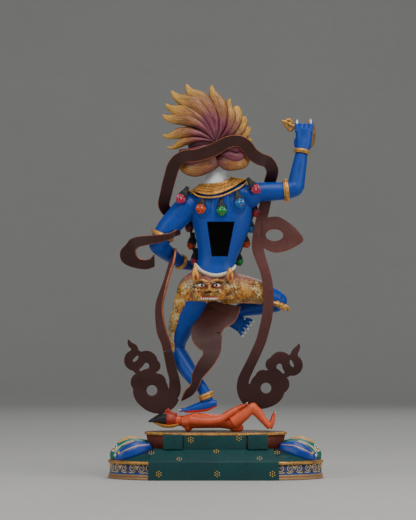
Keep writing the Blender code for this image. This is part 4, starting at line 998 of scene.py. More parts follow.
def shape_hands(clay, nails):
    clay.limb([(86, 7.4, 324, 6.1, 5.6), (88.2, 10, 333, 7.6, 5.9), (88.7, 12, 341, 8.4, 6), (88.7, 12.5, 350, 8.4,
        5.6)], sides=24)
    clay.ball((88.7, 17, 345), (8.3, 6, 7), detail=20)
    for k in range(4):
        x = 81.7 + 4.6 * k
        if k in (1, 2):
            finger(clay, [(x, 11, 346, 2.5), (x, 13, 351.6, 2.5), (x, 18.5, 353.4, 2.3), (x, 22.5, 350, 2.2),
                (x, 20.5, 345, 2)])
            nails.ball((x, 21.4, 344), (1.2, 0.9, 1.4), detail=8)
        else:
            finger(clay, [(x, 11, 346, 2.5), (x, 11.6, 352, 2.4), (x, 12.4, 357, 1.9), (x, 12.6, 358.2, 1.2)])
            nails.ball((x, 10.7, 356), (1.35, 1, 2.7), (-7, 0, 0), detail=12)
    finger(clay, [(83, 11, 331.5, 2.6), (81.2, 13.5, 332.6, 2.4), (81, 18.5, 338, 2.2), (84.5, 22.8, 343.5, 1.9)])
    nails.ball((85.4, 24, 344.4), (1.6, 0.8, 1.2), detail=8)
    clay.ball((-13, 41.5, 215.1), (9.6, 7.4, 4.2), (0, -8, 0), detail=20)
    clay.limb([(-24, 35.5, 212.9, 5.2), (-18, 39, 213.8, 5.8, 4.6)], DEEP, 20)
    for k in range(4):
        y = 35.5 + 4.3 * k
        end = (1.5 - abs(k - 1.4) * 1.4, y + 0.6, 225.9 - 0.5 * k)
        finger(clay, [(-8, y, 215.5, 2.1), (-2.2, y + 0.4, 215.9, 2), (1, y + 0.6, 220.1, 1.9), (*end, 1.45)])
        nails.ball((end[0] + 1.2, end[1], end[2] - 0.4), (0.6, 1.1, 1.5), detail=8)
    finger(clay, [(-19, 44, 215.5, 2.4), (-22.4, 47.4, 220.5, 2.2), (-20, 48.8, 226, 1.6)])


def shape_feet(clay, nails):
    clay.limb([(-13.5, -6, 89.5, 5.5), (-9.8, -7.3, 82, 5.6), (-8, -7.5, 77, 5.3)], sides=22)
    clay.limb([(1, -7, 74.3, 4, 3.5), (-3, -7, 74, 5, 4.6), (-10, -7, 72.2, 5.8, 5.8), (-18, -6.8, 70.2, 6.2, 4.8),
        (-26, -6.4, 68.4, 6.6, 3.4), (-31, -6, 67.3, 6.6, 2.4)], DEEP, 22)
    for k in range(5):
        y = -11.6 + 2.75 * k
        size = 1.95 if k == 4 else 1.55
        finger(clay, [(-28, y, 67.6, size + 0.1), (-33, y, 67.6, size), (-36.4 + 0.6 * (4 - k), y, 66.9,
            size * 0.85)])
        nails.ball((-36.7 + 0.6 * (4 - k), y, 67.8), (1.2, 1.1, 0.6), (0, 24, 0), detail=8)
    sole = (0.35, 0, 0.94)
    clay.limb([(16, 31.4, 163.6, 5.6), (11, 31, 161.6, 5.6, 5.4)], DEEP, 20)
    clay.limb([(6.5, 30.4, 160.6, 4.4, 4.6), (12, 30.6, 158.8, 6, 5.2), (19, 30, 155.6, 7, 4.2),
        (26.4, 29, 152.6, 8.2, 3)], across=sole, sides=22)
    for k in range(5):
        x, z = 23.2 + 1.75 * k, 147.4 + 2.75 * k
        finger(clay, [(x, 29, z, 1.75), (x + 2.0 + 0.8 * k, 28.7, z - 3.2 + 0.5 * k, 1.6), (x + 3.2 + 1 * k, 28.8,
            z - 6 + 0.9 * k, 1.25)])
        nails.ball((x + 3.6 + 1 * k, 27.9, z - 6.4 + 0.9 * k), (1.3, 0.7, 1.3), detail=8)


def cavity_cutter():
    mesh = bmesh.new()
    verts = []
    for y in (-40, CAVITY["floor"]):
        for end, shift in (("bottom", -1), ("top", 0)):
            for side in (-1, 1):
                x = CAVITY["x"] + shift + side * CAVITY[end + "_half"]
                verts.append(mesh.verts.new(spot(x, y, CAVITY[end])))
    for face in ((0, 1, 3, 2), (4, 6, 7, 5), (0, 4, 5, 1), (2, 3, 7, 6), (0, 2, 6, 4), (1, 5, 7, 3)):
        mesh.faces.new([verts[k] for k in face])
    return object_from(mesh, "cavity_cutter")


def make_dancer(sizes, tones):
    blue = skin_finish(tones)
    clay = Clay()
    shape_trunk(clay)
    shape_upper_limbs(clay)
    shape_lower_limbs(clay)
    body = clay.fused("blue_body", blue, sizes.skin_detail, 6, 22, limit=150000)
    cutter = cavity_cutter()
    cut = modify(body, "BOOLEAN", operation="DIFFERENCE", solver="MANIFOLD")
    cut.object = cutter
    apply_modifiers(body)
    body.data.shade_smooth()
    discard(cutter)
    # The inside of the back cavity is painted near black as painted shade.
    black = painted("cavity_black", (0.004, 0.004, 0.005), roughness=0.8)

    def inside(centre, normal):
        t = (centre[:, 2] - CAVITY["bottom"]) / (CAVITY["top"] - CAVITY["bottom"])
        half = CAVITY["bottom_half"] + t * (CAVITY["top_half"] - CAVITY["bottom_half"]) + 0.05
        middle = CAVITY["x"] - 1.0 + t
        near = (np.abs(centre[:, 0] - middle) < half) & (t > -0.01) & (t < 1.01)
        return near & (centre[:, 1] < CAVITY["floor"] + 0.1) & ((centre[:, 1] > -10) | (np.abs(normal[:, 1]) < 0.3))

    repaint(body, black, inside)
    repaint(body, hide_finish(tones), lambda c, n: (c[:, 2] > 176.5) & (c[:, 0] < 30) & (
        c[:, 2] < np.where(c[:, 1] < 0, np.interp(c[:, 0], *WAIST), 200)))
    body.data.set_sharp_from_angle(angle=radians(50))
    settle(body, "dancing_figure", "dancing_figure")
    small, nails = Clay(), Clay()
    shape_hands(small, nails)
    shape_feet(small, nails)
    ends = small.fused("hands_and_feet", blue, sizes.fine_detail, 4, 10, limit=110000)
    red = painted("sole_red", "#D8512C", roughness=0.45)
    repaint(ends, red, lambda c, n: (c[:, 2] < 73) & (n[:, 2] < -0.6) & (c[:, 0] < 6))
    settle(ends)
    white = painted("nail_enamel", "#E8E8E6", roughness=0.3, coat=0.3)
    settle(nails.plain("white_nails", white))


def skin_finish(tones):
    finish = Finish("blue_skin", roughness=0.45, broad=24.0, fine=330.0, relief=0.1, coat=0.06)
    return finish.done(finish.mottled(tones.skin, 0.78, 1.18), "#00204A", 0.7)


# The lion face
def make_lion_head(sizes, tones):
    head = Clay()
    head.limb([(1, 0, 286, 13.3), (1, 0, 295.5, 12), (1, 0, 303, 9.8), (1.8, 2, 311, 10.2), (2, 3, 317, 12.6)],
        sides=28)
    head.ball((2, 6, 328), (15.6, 16.4, 16.6), detail=28)
    head.limb([(2, 14, 327, 8.5, 8), (2, 22, 325, 7.6, 6.4), (2, 29, 324, 5.6, 4.6)], sides=20)
    head.ball((2, 17, 312.8), (8.2, 9.5, 3.6), (10, 0, 0))
    head.ball((2, 25.6, 312.6), (4.6, 3.6, 2.8))
    head.limb([(2, 18, 339, 3.6, 2), (2, 25, 333, 3, 2.2), (2, 31.5, 328, 2.6, 2)], sides=12)
    for lean in (-1, 1):
        head.ball((2 + lean * 4.3, 28.8, 322.6), (4.1, 4.4, 3.7))
        head.ball((2 + lean * 10.5, 13.5, 320), (6, 7.5, 7.5))
        head.limb([(2 + lean * 2.2, 22.6, 334.5, 1.6), (2 + lean * 7, 21.6, 337.2, 2.2), (2 + lean * 12.6, 15.6, 336,
            1.5)], sides=10)
        head.ball((2 + lean * 7, 18.6, 325.6), (4.2, 4, 2.4))
        head.limb([(2 + lean * 6.8, 22.5, 319.6, 1.5), (2 + lean * 8.6, 17.5, 316.4, 1.6), (2 + lean * 8, 14, 313,
            1.4)], sides=8)
        head.limb([(2 + lean * 13.5, 6, 333, 4.6, 2.6), (2 + lean * 17.6, 6.5, 338, 4.4, 2),
            (2 + lean * 19.4, 7, 342.6, 1.6, 1)], DEEP, 14)
    white = painted("face_white", tones.face, "#9AA4B0", roughness=0.42, broad=50.0, relief=0.06, coat=0.1)
    settle(head.fused("lion_head", white, sizes.fine_detail, 4, 10, limit=80000))
    marks = {key: Clay() for key in ("white", "red", "black", "gold")}
    teeth, lips, eyes, brows = marks.values()
    for lean in (-1, 1):
        x = 2 + lean * 7.2
        teeth.ball((x, 18.8, 331), (3.5, 3.2, 3.1), detail=18)
        eyes.ball((x - lean * 0.3, 21.2, 330.8), (1.5, 1.2, 1.5), detail=12)
        lips.limb([(x - lean * 3.2, 20.6, 330.2, 0.5), (x, 21.2, 328.2, 0.6), (x + lean * 3.2, 18.6, 329.6, 0.5)],
            sides=8)
        brows.limb([(x - lean * 4.2, 22.8, 334, 0.7), (x, 23, 336.6, 1.2), (x + lean * 3.6, 20.6, 338.6, 1.1),
            (x + lean * 6.4, 17, 342.5, 0.4)], sides=8)
        for k in range(4):
            angle = radians(10 + 25 * k)
            start = Vector((2 + lean * (12 + 1.5 * k), 12 - 2.4 * k, 313 - 0.6 * k + 3.2 * k))
            end = start + Vector((lean * (4 + 2.4 * sin(angle)), 1.5, -5 + 3.4 * sin(angle)))
            brows.limb([(*start, 2, 1.3), (*(start.lerp(end, 0.55) + Vector((0, 1, -0.8))), 1.6, 1), (*end, 0.4)],
                sides=8)
        teeth.limb([(2 + lean * 5.2, 29.6, 320.8, 1), (2 + lean * 5.4, 29.2, 317.4, 0.7), (2 + lean * 5.3, 28.6,
            315.6, 0.2)], sides=8)
        teeth.limb([(2 + lean * 3.4, 27.2, 314.4, 0.9), (2 + lean * 3.5, 27.6, 317.6, 0.6), (2 + lean * 3.4, 27.6,
            319.4, 0.2)], sides=8)
        eyes.ball((2 + lean * 1.9, 33, 326.6), (0.8, 0.6, 0.6), detail=8)
        lips.ball((2 + lean * 17.4, 8.4, 338), (1.8, 1.2, 3), (0, lean * 28, 0), detail=10)
    for k in range(6):
        x = 2 + (k - 2.5) * 1.7
        teeth.ball((x, 30.4 - abs(k - 2.5) * 0.5, 319.4), (0.8, 0.8, 1.1), detail=8)
        teeth.ball((x, 28.0 - abs(k - 2.5) * 0.5, 315.6), (0.75, 0.7, 1), detail=8)
    lips.ball((2, 22, 316.2), (6.4, 7.4, 2.6), detail=18)
    lips.limb([(2, 20, 316.6, 3, 1.2), (2, 27.5, 316.4, 3, 1), (2, 30.6, 314.2, 2.2, 0.8)], sides=12)
    lips.ball((2, 33.2, 328), (3.3, 2, 2.2), detail=14)
    teeth.ball((2, 21.4, 338.6), (1.7, 1.6, 2.9), detail=12)
    eyes.ball((2, 22.9, 338.4), (0.9, 0.6, 1.2), detail=10)
    paints = {"white": painted("tooth_white", "#EFEDE4", roughness=0.3, coat=0.3), "red": painted("lip_red",
        "#B02A24", roughness=0.35, coat=0.2), "black": painted("eye_black", "#101114", roughness=0.2, coat=0.4),
        "gold": gilded("brow_gold", tones.gold)}
    settle(merged("lion_features", [clay.plain(f"feature_{key}", paints[key]) for key, clay in marks.items()]))
    make_crown(tones)


def make_crown(tones):
    """Five small skulls on a gold band across the brow."""
    bone, sockets = Clay(), Clay()
    base = PATTERN_BASE
    bone.ball((0, 0, base + 1.2), (3.7, 3.6, 3.7), detail=16)
    bone.ball((0, -1.4, base - 2.4), (2.5, 2.4, 2.2), detail=12)
    bone.limb([(-2.6, -2.6, base - 0.6, 0.8), (0, -3.6, base - 0.2, 0.7), (2.6, -2.6, base - 0.6, 0.8)], sides=8)
    for k in range(4):
        bone.ball(((k - 1.5) * 1.05, -3.5, base - 3.6), (0.5, 0.5, 0.9), detail=8)
    for lean in (-1, 1):
        sockets.ball((lean * 1.45, -3.2, base + 0.7), (1.15, 0.8, 1.25), detail=12)
    sockets.ball((0, -3.9, base - 1.4), (0.55, 0.5, 0.8), detail=8)
    skull, holes = bone.plain("skull_pattern"), sockets.plain("socket_pattern")
    places, jewels = [], []
    for k in range(5):
        angle = radians(30 + 30 * k)
        out = Vector((cos(angle), sin(angle) * 0.92, 0))
        at = Vector((2, 7, 0)) + Vector((out.x * 17.4, out.y * 15.6, 0))
        places.append((spot(at.x, at.y, 345.6), facing(out), 0.92))
        jewels.append((at, out))
    settle(copied("crown_skulls", skull, places, painted("skull_white", "#E2DFD2", roughness=0.4)))
    settle(copied("crown_sockets", holes, places, painted("socket_black", "#141210", roughness=0.6)))
    band = Clay()
    for z, thick in ((340.2, 1), (338.6, 0.7)):
        rows = [(2 + 17.2 * cos(radians(a)), 7 + 15.2 * sin(radians(a)), z, thick) for a in range(8, 173, 9)]
        band.limb(rows, UP, 10, steps=2)
    for at, out in jewels:
        band.limb([(at.x, at.y, 349, 2.2, 1), (at.x, at.y, 352.5, 1.6, 0.9), (at.x, at.y, 356, 0.3, 0.3)], sides=10)
        band.hoop((at.x + out.x * 1, at.y + out.y * 1, 350.6), 1.5, out, 0.4, 8, 16)
    settle(band.plain("crown_band", gilded("crown_gold", tones.gold)))
    discard(skull, holes)


# The mane
MANE_ROOT = (0, 334.5)
BACK_LOCKS = [((-48.5, 330), 0.13, 0.8), ((-53, 342.5), 0.16, 1), ((-53, 362.5), 0.18, 1.06),
    ((-50, 373.5), 0.19, 1.08), ((-44, 386.5), 0.2, 1.1), ((-29, 393.2), 0.2, 1.12), ((-3.5, 392), 0.2, 1.12),
    ((14.7, 378.5), 0.22, 1.1)]
RIGHT_LOCKS = [((22, 371.5), 0.24, 1), ((29.5, 361), 0.26, 0.95), ((34.6, 350), 0.26, 0.9), ((36.4, 338), 0.24, 0.85)]
FRONT_LOCKS = [(-37, 336), (-38, 350), (-33, 364), (-22, 375), (-8, 379), (5, 374), (15.5, 365), (24.5, 353.5),
    (28, 340.5)]
LOCK_SHAPE = ((0, 0.2, 0.4, 0.58, 0.68, 0.76, 0.84, 0.92, 0.97, 1), (0.02, 0.045, 0.075, 0.104, 0.107, 0.092, 0.067,
    0.044, 0.028, 0.008))
BLUNT_SHAPE = ((0, 0.4, 0.7, 0.85, 0.95, 0.99, 1), (0.02, 0.1, 0.16, 0.15, 0.1, 0.04, 0.02))


def lock(mesh, layers, tip, bulge, width, depth, number, swell, curl=0.12, outline=LOCK_SHAPE):
    """One flame-shaped lock from the crown of the head to its pointed, upswept tip."""
    root = Vector(MANE_ROOT)
    reach = Vector(tip) - root
    side = Vector((reach.y, -reach.x)).normalized()
    steps, sides = 44, 22
    path, shape = [], []
    for i in range(steps + 1):
        t = i / steps
        swing = bulge * reach.length * sin(pi * t) * (1 - 0.55 * t)
        swing -= curl * reach.length * max(0, t - 0.62) * sin(pi * (t - 0.62) / 0.38) * 1.6
        at = root + reach * t + side * swing
        half = max(0.5, float(np.interp(t, *outline)) * reach.length * width)
        thick = (3.0 + 2.2 * sin(pi * min(1, t * 1.25))) * swell * (1 if t < 0.7 else 1 - 0.72 * (t - 0.7) / 0.3)
        path.append((at.x, depth + (7.5 * t * t if depth < 0 else -2 * t), at.y))
        shape.append((half, thick))
    flow, fade, rib = layers
    rings = []
    across = (0.9, 0, 0.35) if abs(reach.x) < 12 else (-reach.y, 0, reach.x)
    for i, (row, (place, _, wide, deep)) in enumerate(zip(shape, frames_along(path, across))):
        ring = []
        for k in range(sides):
            angle = 2 * pi * k / sides
            c, s = cos(angle), sin(angle)
            ridge = 1 + 0.05 * cos(5 * angle)
            vert = mesh.verts.new(place + (wide * c * row[0] + deep * s * row[1] * ridge) * MM)
            vert[flow] = Vector((c * 6 * (1 if s < 0 else -1), i / steps * 4.5, number * 7.3))
            vert[fade] = i / steps
            vert[rib] = abs(c) ** 8
            ring.append(vert)
        rings.append(ring)
    skin_rings(mesh, rings)


def swept_hair(mesh, layers, stations, number):
    """A broad swept mass of hair with the same marks as a lock."""
    flow, fade, rib = layers
    path = smooth_path(stations, 8)
    rings = []
    for i, (row, (place, _, wide, deep)) in enumerate(zip(path, frames_along(path, (0, 0, 1)))):
        ring = []
        t = i / (len(path) - 1)
        for k in range(26):
            angle = 2 * pi * k / 26
            c, s = cos(angle), sin(angle)
            vert = mesh.verts.new(place + (wide * c * row[3] + deep * s * row[4]) * MM)
            vert[flow] = Vector((c * 9 * (1 if s < 0 else -1), t * 3.2, number * 5.1))
            vert[fade] = 0.35 + 0.5 * t if number < 50 else 0.1 + 0.25 * t
            vert[rib] = abs(c) ** 9
            ring.append(vert)
        rings.append(ring)
    skin_rings(mesh, rings)


LOBES = [
    [(1, -13.6, 316, 6, 2), (-9, -16, 312.6, 8.8, 3.7), (-20, -13.6, 309.4, 9.2, 4.1), (-30, -8.7, 310, 6.8, 3.7),
        (-37, -3.9, 314, 2.2, 1.7)],
    [(0, -14.1, 324, 3, 2), (-10, -17.5, 320.4, 4.4, 3.1), (-22, -16, 316.6, 4.6, 3.3),
        (-34, -9.7, 316.8, 3.8, 2.7), (-40, -5.8, 320, 1.6, 1.4)],
    [(3, -13.6, 317, 5, 2), (11, -16.5, 314.6, 8, 3.7), (20, -15.5, 314.4, 7.8, 4.2),
        (28, -11.6, 316.8, 7.2, 3.7), (33.4, -6.8, 322.6, 2.8, 2)],
    [(3, -14.5, 326, 3, 2), (11, -17.9, 322.4, 4.6, 3.1), (19, -17.9, 319.2, 5, 3.3), (26, -15, 321.6, 4.6, 2.9),
        (31.5, -10.7, 328.5, 2.4, 1.7)],
    [(3, -13.6, 331, 3, 2), (12, -17.1, 330, 4.4, 2.9), (22, -16.1, 328.6, 4.6, 2.9), (30, -11.6, 333, 2.6, 1.8)],
    [(-2, -13.6, 330, 3, 2), (-12, -16.7, 327.6, 4.6, 2.9), (-24, -14.2, 324.6, 4.6, 2.9),
        (-36, -7.8, 325.6, 2.4, 1.6)],
]


def make_mane(sizes, tones):
    mesh = bmesh.new()
    layers = (mesh.verts.layers.float_vector.new("flow"), mesh.verts.layers.float.new("fade"),
        mesh.verts.layers.float.new("rib"))
    bmesh.ops.create_uvsphere(mesh, u_segments=48, v_segments=32, radius=1.0,
        matrix=Matrix.Translation(spot(-3, -2, 338)) @ Matrix.Diagonal((0.026, 0.015, 0.024, 1)))
    for k, (tip, bulge, width) in enumerate(BACK_LOCKS):
        lock(mesh, layers, tip, bulge, width, -14.5 + 0.6 * (k % 2), k + 1, sizes.lock_swell)
    for k, (tip, bulge, width) in enumerate(RIGHT_LOCKS):
        lock(mesh, layers, tip, bulge, width, -12.0 + 2.6 * k, k + 12, sizes.lock_swell, 0.03, BLUNT_SHAPE)
    for k, tip in enumerate(FRONT_LOCKS):
        outline = BLUNT_SHAPE if tip[0] > 0 else LOCK_SHAPE
        lock(mesh, layers, tip, 0.16, 1.1, 5.5, k + 20, sizes.lock_swell, 0.12 if tip[0] < 0 else 0.02, outline)
    for k, tip in enumerate(FRONT_LOCKS[1:-1:2]):
        near = Vector(MANE_ROOT).lerp(Vector(tip), 0.78)
        lock(mesh, layers, tuple(near), 0.2, 1.2, 9, k + 33, sizes.lock_swell)
    for k, rows in enumerate(LOBES):
        swept_hair(mesh, layers, rows, 41 + k if k in (0, 2) else 51 + k)
    finish = Finish("mane_paint", roughness=0.42, broad=70.0, fine=600.0, relief=0.55, coat=0.1)
    tree = finish.tree
    flow = attribute(tree, "flow", "Vector")
    strands = add(tree, "ShaderNodeTexNoise", {"Vector": flow, "Scale": 1.9, "Detail": 5,
        "Roughness": 0.68}).outputs[0]
    along = reckon(tree, "ADD", attribute(tree, "fade"), reckon(tree, "MULTIPLY", reckon(tree, "SUBTRACT",
        finish.broad, 0.5), 0.5))
    gold, root = tones.mane_tip, tones.mane_root
    body = ramp(tree, along, [(0.04, scaled(root, 0.6)), (0.34, root), (0.5, "#8C5638"), (0.66, "#A06C3C"),
        (0.9, gold)])
    streaks = ramp(tree, strands, [(0.4, grey(0.34)), (0.5, grey(0.95)), (0.6, grey(1.6))])
    tone = blend(tree, 0.85, body, streaks, "MULTIPLY")
    edge = reckon(tree, "MULTIPLY", attribute(tree, "rib"), ramp(tree, attribute(tree, "fade"),
        [(0.55, grey(0.95)), (0.9, grey(0.6))]))
    tone = blend(tree, edge, tone, "#3E1016")
    finish.height = strands
    mane = object_from(mesh, "flame_mane_locks", finish.done(tone))
    settle(mane, "flame_mane", "flame_mane")


# The scarf
ARCH = [(-47.5, 13.5, 264.5, 10), (-52, 7, 272.5, 11.5), (-49.5, -3, 285, 12), (-45.5, -10, 300, 12.5),
    (-41, -15, 312.5, 13), (-31.7, -19.4, 320, 12.5), (-18.7, -22, 321.5, 12.5), (-2.7, -22.8, 326.5, 13),
    (11.3, -22.8, 334, 12), (22, -21.8, 335.7, 11.5), (29.8, -19.5, 331.4, 12.5), (36.6, -16.5, 322.7, 12.8),
    (44, -13, 318, 12.4), (52, -9, 315, 12.2), (56.2, -4, 308.5, 12.2), (56.4, 1, 303, 12), (54.2, 8, 296, 11.5),
    (52.3, 13.8, 288.5, 11)]
HOOK_EDGES = [
    ((-41.5, 14.2, 262.5), (-51.5, 14.2, 262.5)), ((-38, 13, 254.5), (-44, 11.5, 251)),
    ((-36.3, 2, 251), (-36.3, 2, 243.5)), ((-40, -9.5, 247.6), (-41, -10.5, 240.8)),
    ((-46, -12.5, 244.2), (-46, -12.5, 237.6)), ((-57.9, -13, 242.7), (-57.9, -13, 234.3)),
    ((-67.9, -11, 241.7), (-67.9, -11, 232.3)), ((-78, -8, 240.8), (-76, -8.5, 230.3)),
    ((-85, -5, 238.3), (-79, -7, 228)), ((-89.3, -2, 233.4), (-79.7, -6, 226)),
    ((-93.5, 0, 229.4), (-79.5, -4, 224)), ((-95.6, 1, 225), (-79.2, -3, 222.8)),
    ((-95.4, 2, 220), (-78.3, -2, 221.3)), ((-93, 2.5, 215.3), (-77, -1, 220)),
    ((-87, 3, 211.6), (-75, 0, 218.9)), ((-79, 3.5, 209.2), (-72, 2, 218)),
    ((-71, 5, 208.2), (-68.5, 4, 217.9)), ((-66, 7, 209), (-65, 6.5, 219.3)),
    ((-61.6, 8.5, 210.8), (-61.8, 8, 223)),
]
LEFT_STREAMER = [(-41.5, 7, 226.5, 10, 70), (-41.7, 3.5, 222, 10, 72), (-43.7, 0, 215.5, 10.5, 66),
    (-46.2, -1, 207.5, 10.5, 70), (-49.7, -1, 195.5, 10.5, 70), (-53.7, -1, 182.5, 10.5, 58),
    (-56.2, 0, 172, 10.5, 48), (-56, 1, 159.5, 10.5, 38), (-53.7, 1.5, 145.5, 10.5, 18), (-50, 2, 135, 9.5, 5),
    (-48.2, 2, 126.8, 9.5, 0)]
RIGHT_LEVELS = [(290, 14), (268, 13), (240, 9), (200, 3.5), (186, 2.5), (150, 0), (110, -3), (70, -4)]
LEFT_LEVELS = [(130, 2), (112, 1.5), (95, 0), (65, -3.5)]
SASH = [(303, 204.5, 241, 10), (312, 202.5, 238, 8), (321, 197.5, 227, 4), (333, 191.2, 221.3, -1),
    (341, 195, 222.8, -5), (349, 201.5, 221.5, -8), (357, 202.2, 217.8, -11), (366, 196.4, 211, -13.5),
    (375, 192, 203.5, -15), (385, 190.5, 198.9, -16), (392, 184.5, 193.5, -14), (400, 180.8, 182.4, -10)]


def ribbon(name, stations, wall, rounding, materials, across=None, steps=8):
    """A metal band with rounded, gilded edges through stations of x, y, z, width and turn."""
    mesh = bmesh.new()
    path = smooth_path(stations, steps)
    if across is None:
        faces = [Vector((sin(radians(r[4])), cos(radians(r[4])), 0)) for r in path]
        ways = [along for _, along, _, _ in frames_along(path, (0.123, 0.456, 0.789))]
        across = [tuple(way.cross(face)) for way, face in zip(ways, faces)]
    rings = [band_ring(mesh, place, wide, through, row[3] * MM / 2, wall / 2, rounding) for row, (place, _, wide,
        through) in zip(path, frames_along(path, across))]
    return banded(mesh, name, rings, materials)


def band_ring(mesh, place, wide, through, half, thick, soft):
    """The section of a band, with its four corners cut off."""
    ring = []
    for sx, sy in ((1, 1), (-1, 1), (-1, -1), (1, -1)):
        pair = [wide * sx * half + through * sy * (thick - soft), wide * sx * (half - soft) + through * sy * thick]
        ring += pair if sx * sy > 0 else pair[::-1]
    return [mesh.verts.new(place + p) for p in ring]


def banded(mesh, name, rings, materials):
    skin_rings(mesh, rings, material=lambda k: 0 if k in (1, 5) else 1)
    obj = object_from(mesh, name, *materials)
    obj.data.set_sharp_from_angle(angle=radians(35))
    return obj


def strip(name, rows, wall, rounding, materials, steps=8):
    """A metal band between two edges, given as rows of a point on each."""
    mesh = bmesh.new()
    path = smooth_path([(*first, *second) for first, second in rows], steps)
    edges = [(spot(*row[:3]), spot(*row[3:])) for row in path]
    rings = []
    for i, (first, second) in enumerate(edges):
        before, after = edges[max(i - 1, 0)], edges[min(i + 1, len(edges) - 1)]
        along = after[0] + after[1] - before[0] - before[1]
        wide = first - second
        rings.append(band_ring(mesh, (first + second) / 2, wide.normalized(), along.cross(wide).normalized(),
            wide.length / 2, wall / 2, rounding))
    return banded(mesh, name, rings, materials)


def depth_at(levels, z):
    if z >= levels[0][0]:
        return levels[0][1]
    for (high, y_high), (low, y_low) in zip(levels, levels[1:]):
        if z >= low:
            t = (high - z) / (high - low)
            return y_high + (y_low - y_high) * t * t * (3 - 2 * t)
    return levels[-1][1]


def plate(name, solids, holes, levels, wall, rounding, materials):
    """A bent plate: flat outlines in x and z joined, less the holes, with rounded gilded edges."""
    verts, faces = [], []
    for outline in (*solids, *holes):
        start = len(verts)
        turning = sum(a[0] * b[1] - b[0] * a[1] for a, b in zip(outline, [*outline[1:], outline[0]]))
        verts.extend(Vector(p) for p in (outline if turning > 0 else reversed(outline)))
        faces.append(list(range(start, len(verts))))
    low_x, high_x = min(v.x for v in verts), max(v.x for v in verts)
    low_z, high_z = min(v.y for v in verts), max(v.y for v in verts)
    for i in range(int((high_x - low_x) / 3)):
        for k in range(int((high_z - low_z) / 3)):
            verts.append(Vector((low_x + 1.5 + 3 * i, low_z + 1.5 + 3 * k)))
    points, _, triangles, _, _, origins = delaunay_2d_cdt(verts, [], faces, 0, 0.08)
    mesh = bmesh.new()
    flat = [mesh.verts.new(spot(p.x, depth_at(levels, p.y), p.y)) for p in points]
    for ring, sources in zip(triangles, origins):
        if any(k < len(solids) for k in sources) and not any(k >= len(solids) for k in sources):
            mesh.faces.new([flat[k] for k in ring])
    bmesh.ops.delete(mesh, geom=[v for v in mesh.verts if not v.link_faces], context="VERTS")
    obj = object_from(mesh, name, *materials)
    modify(obj, "SOLIDIFY", thickness=wall, offset=0.0, material_offset_rim=1)
    modify(obj, "BEVEL", width=rounding, segments=2, limit_method="ANGLE", angle_limit=radians(60), material=1)
    apply_modifiers(obj)
    obj.data.shade_smooth()
    obj.data.set_sharp_from_angle(angle=radians(35))
    return obj


def stroke(stations, steps=5):
    path = smooth_path(stations, steps)
    left, right = [], []
    for i, (x, z, width) in enumerate(path):
        before, after = path[max(i - 1, 0)], path[min(i + 1, len(path) - 1)]
        along = Vector((after[0] - before[0], after[1] - before[1])).normalized()
        side = Vector((-along.y, along.x)) * width / 2
        left.append(Vector((x, z)) + side)
        right.append(Vector((x, z)) - side)
    return left + right[::-1]


def disc(x, z, radius_x, radius_z=None, sides=40):
    """An oval outline in x and z."""
    radius_z = radius_z or radius_x
    angles = [2 * pi * k / sides for k in range(sides)]
    return [Vector((x, z)) + Vector((radius_x * cos(a), radius_z * sin(a))) for a in angles]


def snail(sides=70):
    outline = []
    for k in range(sides):
        angle = 180 + 345 * k / (sides - 1)
        settle_in = min(1, (angle - 180) / 115)
        ease = settle_in * settle_in * (3 - 2 * settle_in)
        radius = 28.5 - 9.5 * ease
        if angle > 430:
            radius -= 2.5 * min(1, (angle - 430) / 40)
        outline.append(Vector((radius * cos(radians(angle)), radius * sin(radians(angle)))))
    return outline


CURL_SLOTS = [
    [(13.2, 24.3), (15.6, 23.4), (16.4, 20), (18.6, 15.4), (16.6, 14.8), (14, 17.4), (10.6, 19.8), (10.9, 22.8)],
    [(24.5, 28.2), (26.2, 26.6), (27.9, 22.2), (26.8, 20.9), (24.3, 23.2), (23.7, 26.4)],
]


def curl_shapes(centre, mirror, turn, lean):
    """Outlines and holes of a scarf end that rolls up in three turns and a tip, as a right-hand one."""
    tip = [(27, 27, 9.5), (28.6 + 0.35 * lean, 35 - 0.1 * lean, 7), (31 + 0.65 * lean, 38.8 - 0.45 * lean, 5.4),
        (32.6 + 0.8 * lean, 41.6 - 0.55 * lean, 3.5), (32.7 + lean, 44.2 - 0.6 * lean, 1)]
    solids = [snail(), disc(-2.7, 9.9, 8.3), disc(6.3, 23.6, 6.8), disc(14.6, 24.8, 11.5), disc(26.1, 22.8, 10.7),
        disc(20.5, 15.5, 4.8), disc(13.8, 3.9, 9.6), stroke(tip)]
    holes = [disc(0, 0, 5.3)]
    for slot in CURL_SLOTS:
        holes.append([Vector(p) for p in smooth_path(slot, 4, True)])
    spin = Matrix.Rotation(radians(turn), 2)

    def placed(outline):
        return [Vector((centre[0] + mirror * (spin @ p).x, centre[1] + (spin @ p).y)) for p in outline]

    return [placed(o) for o in solids], [placed(o) for o in holes]


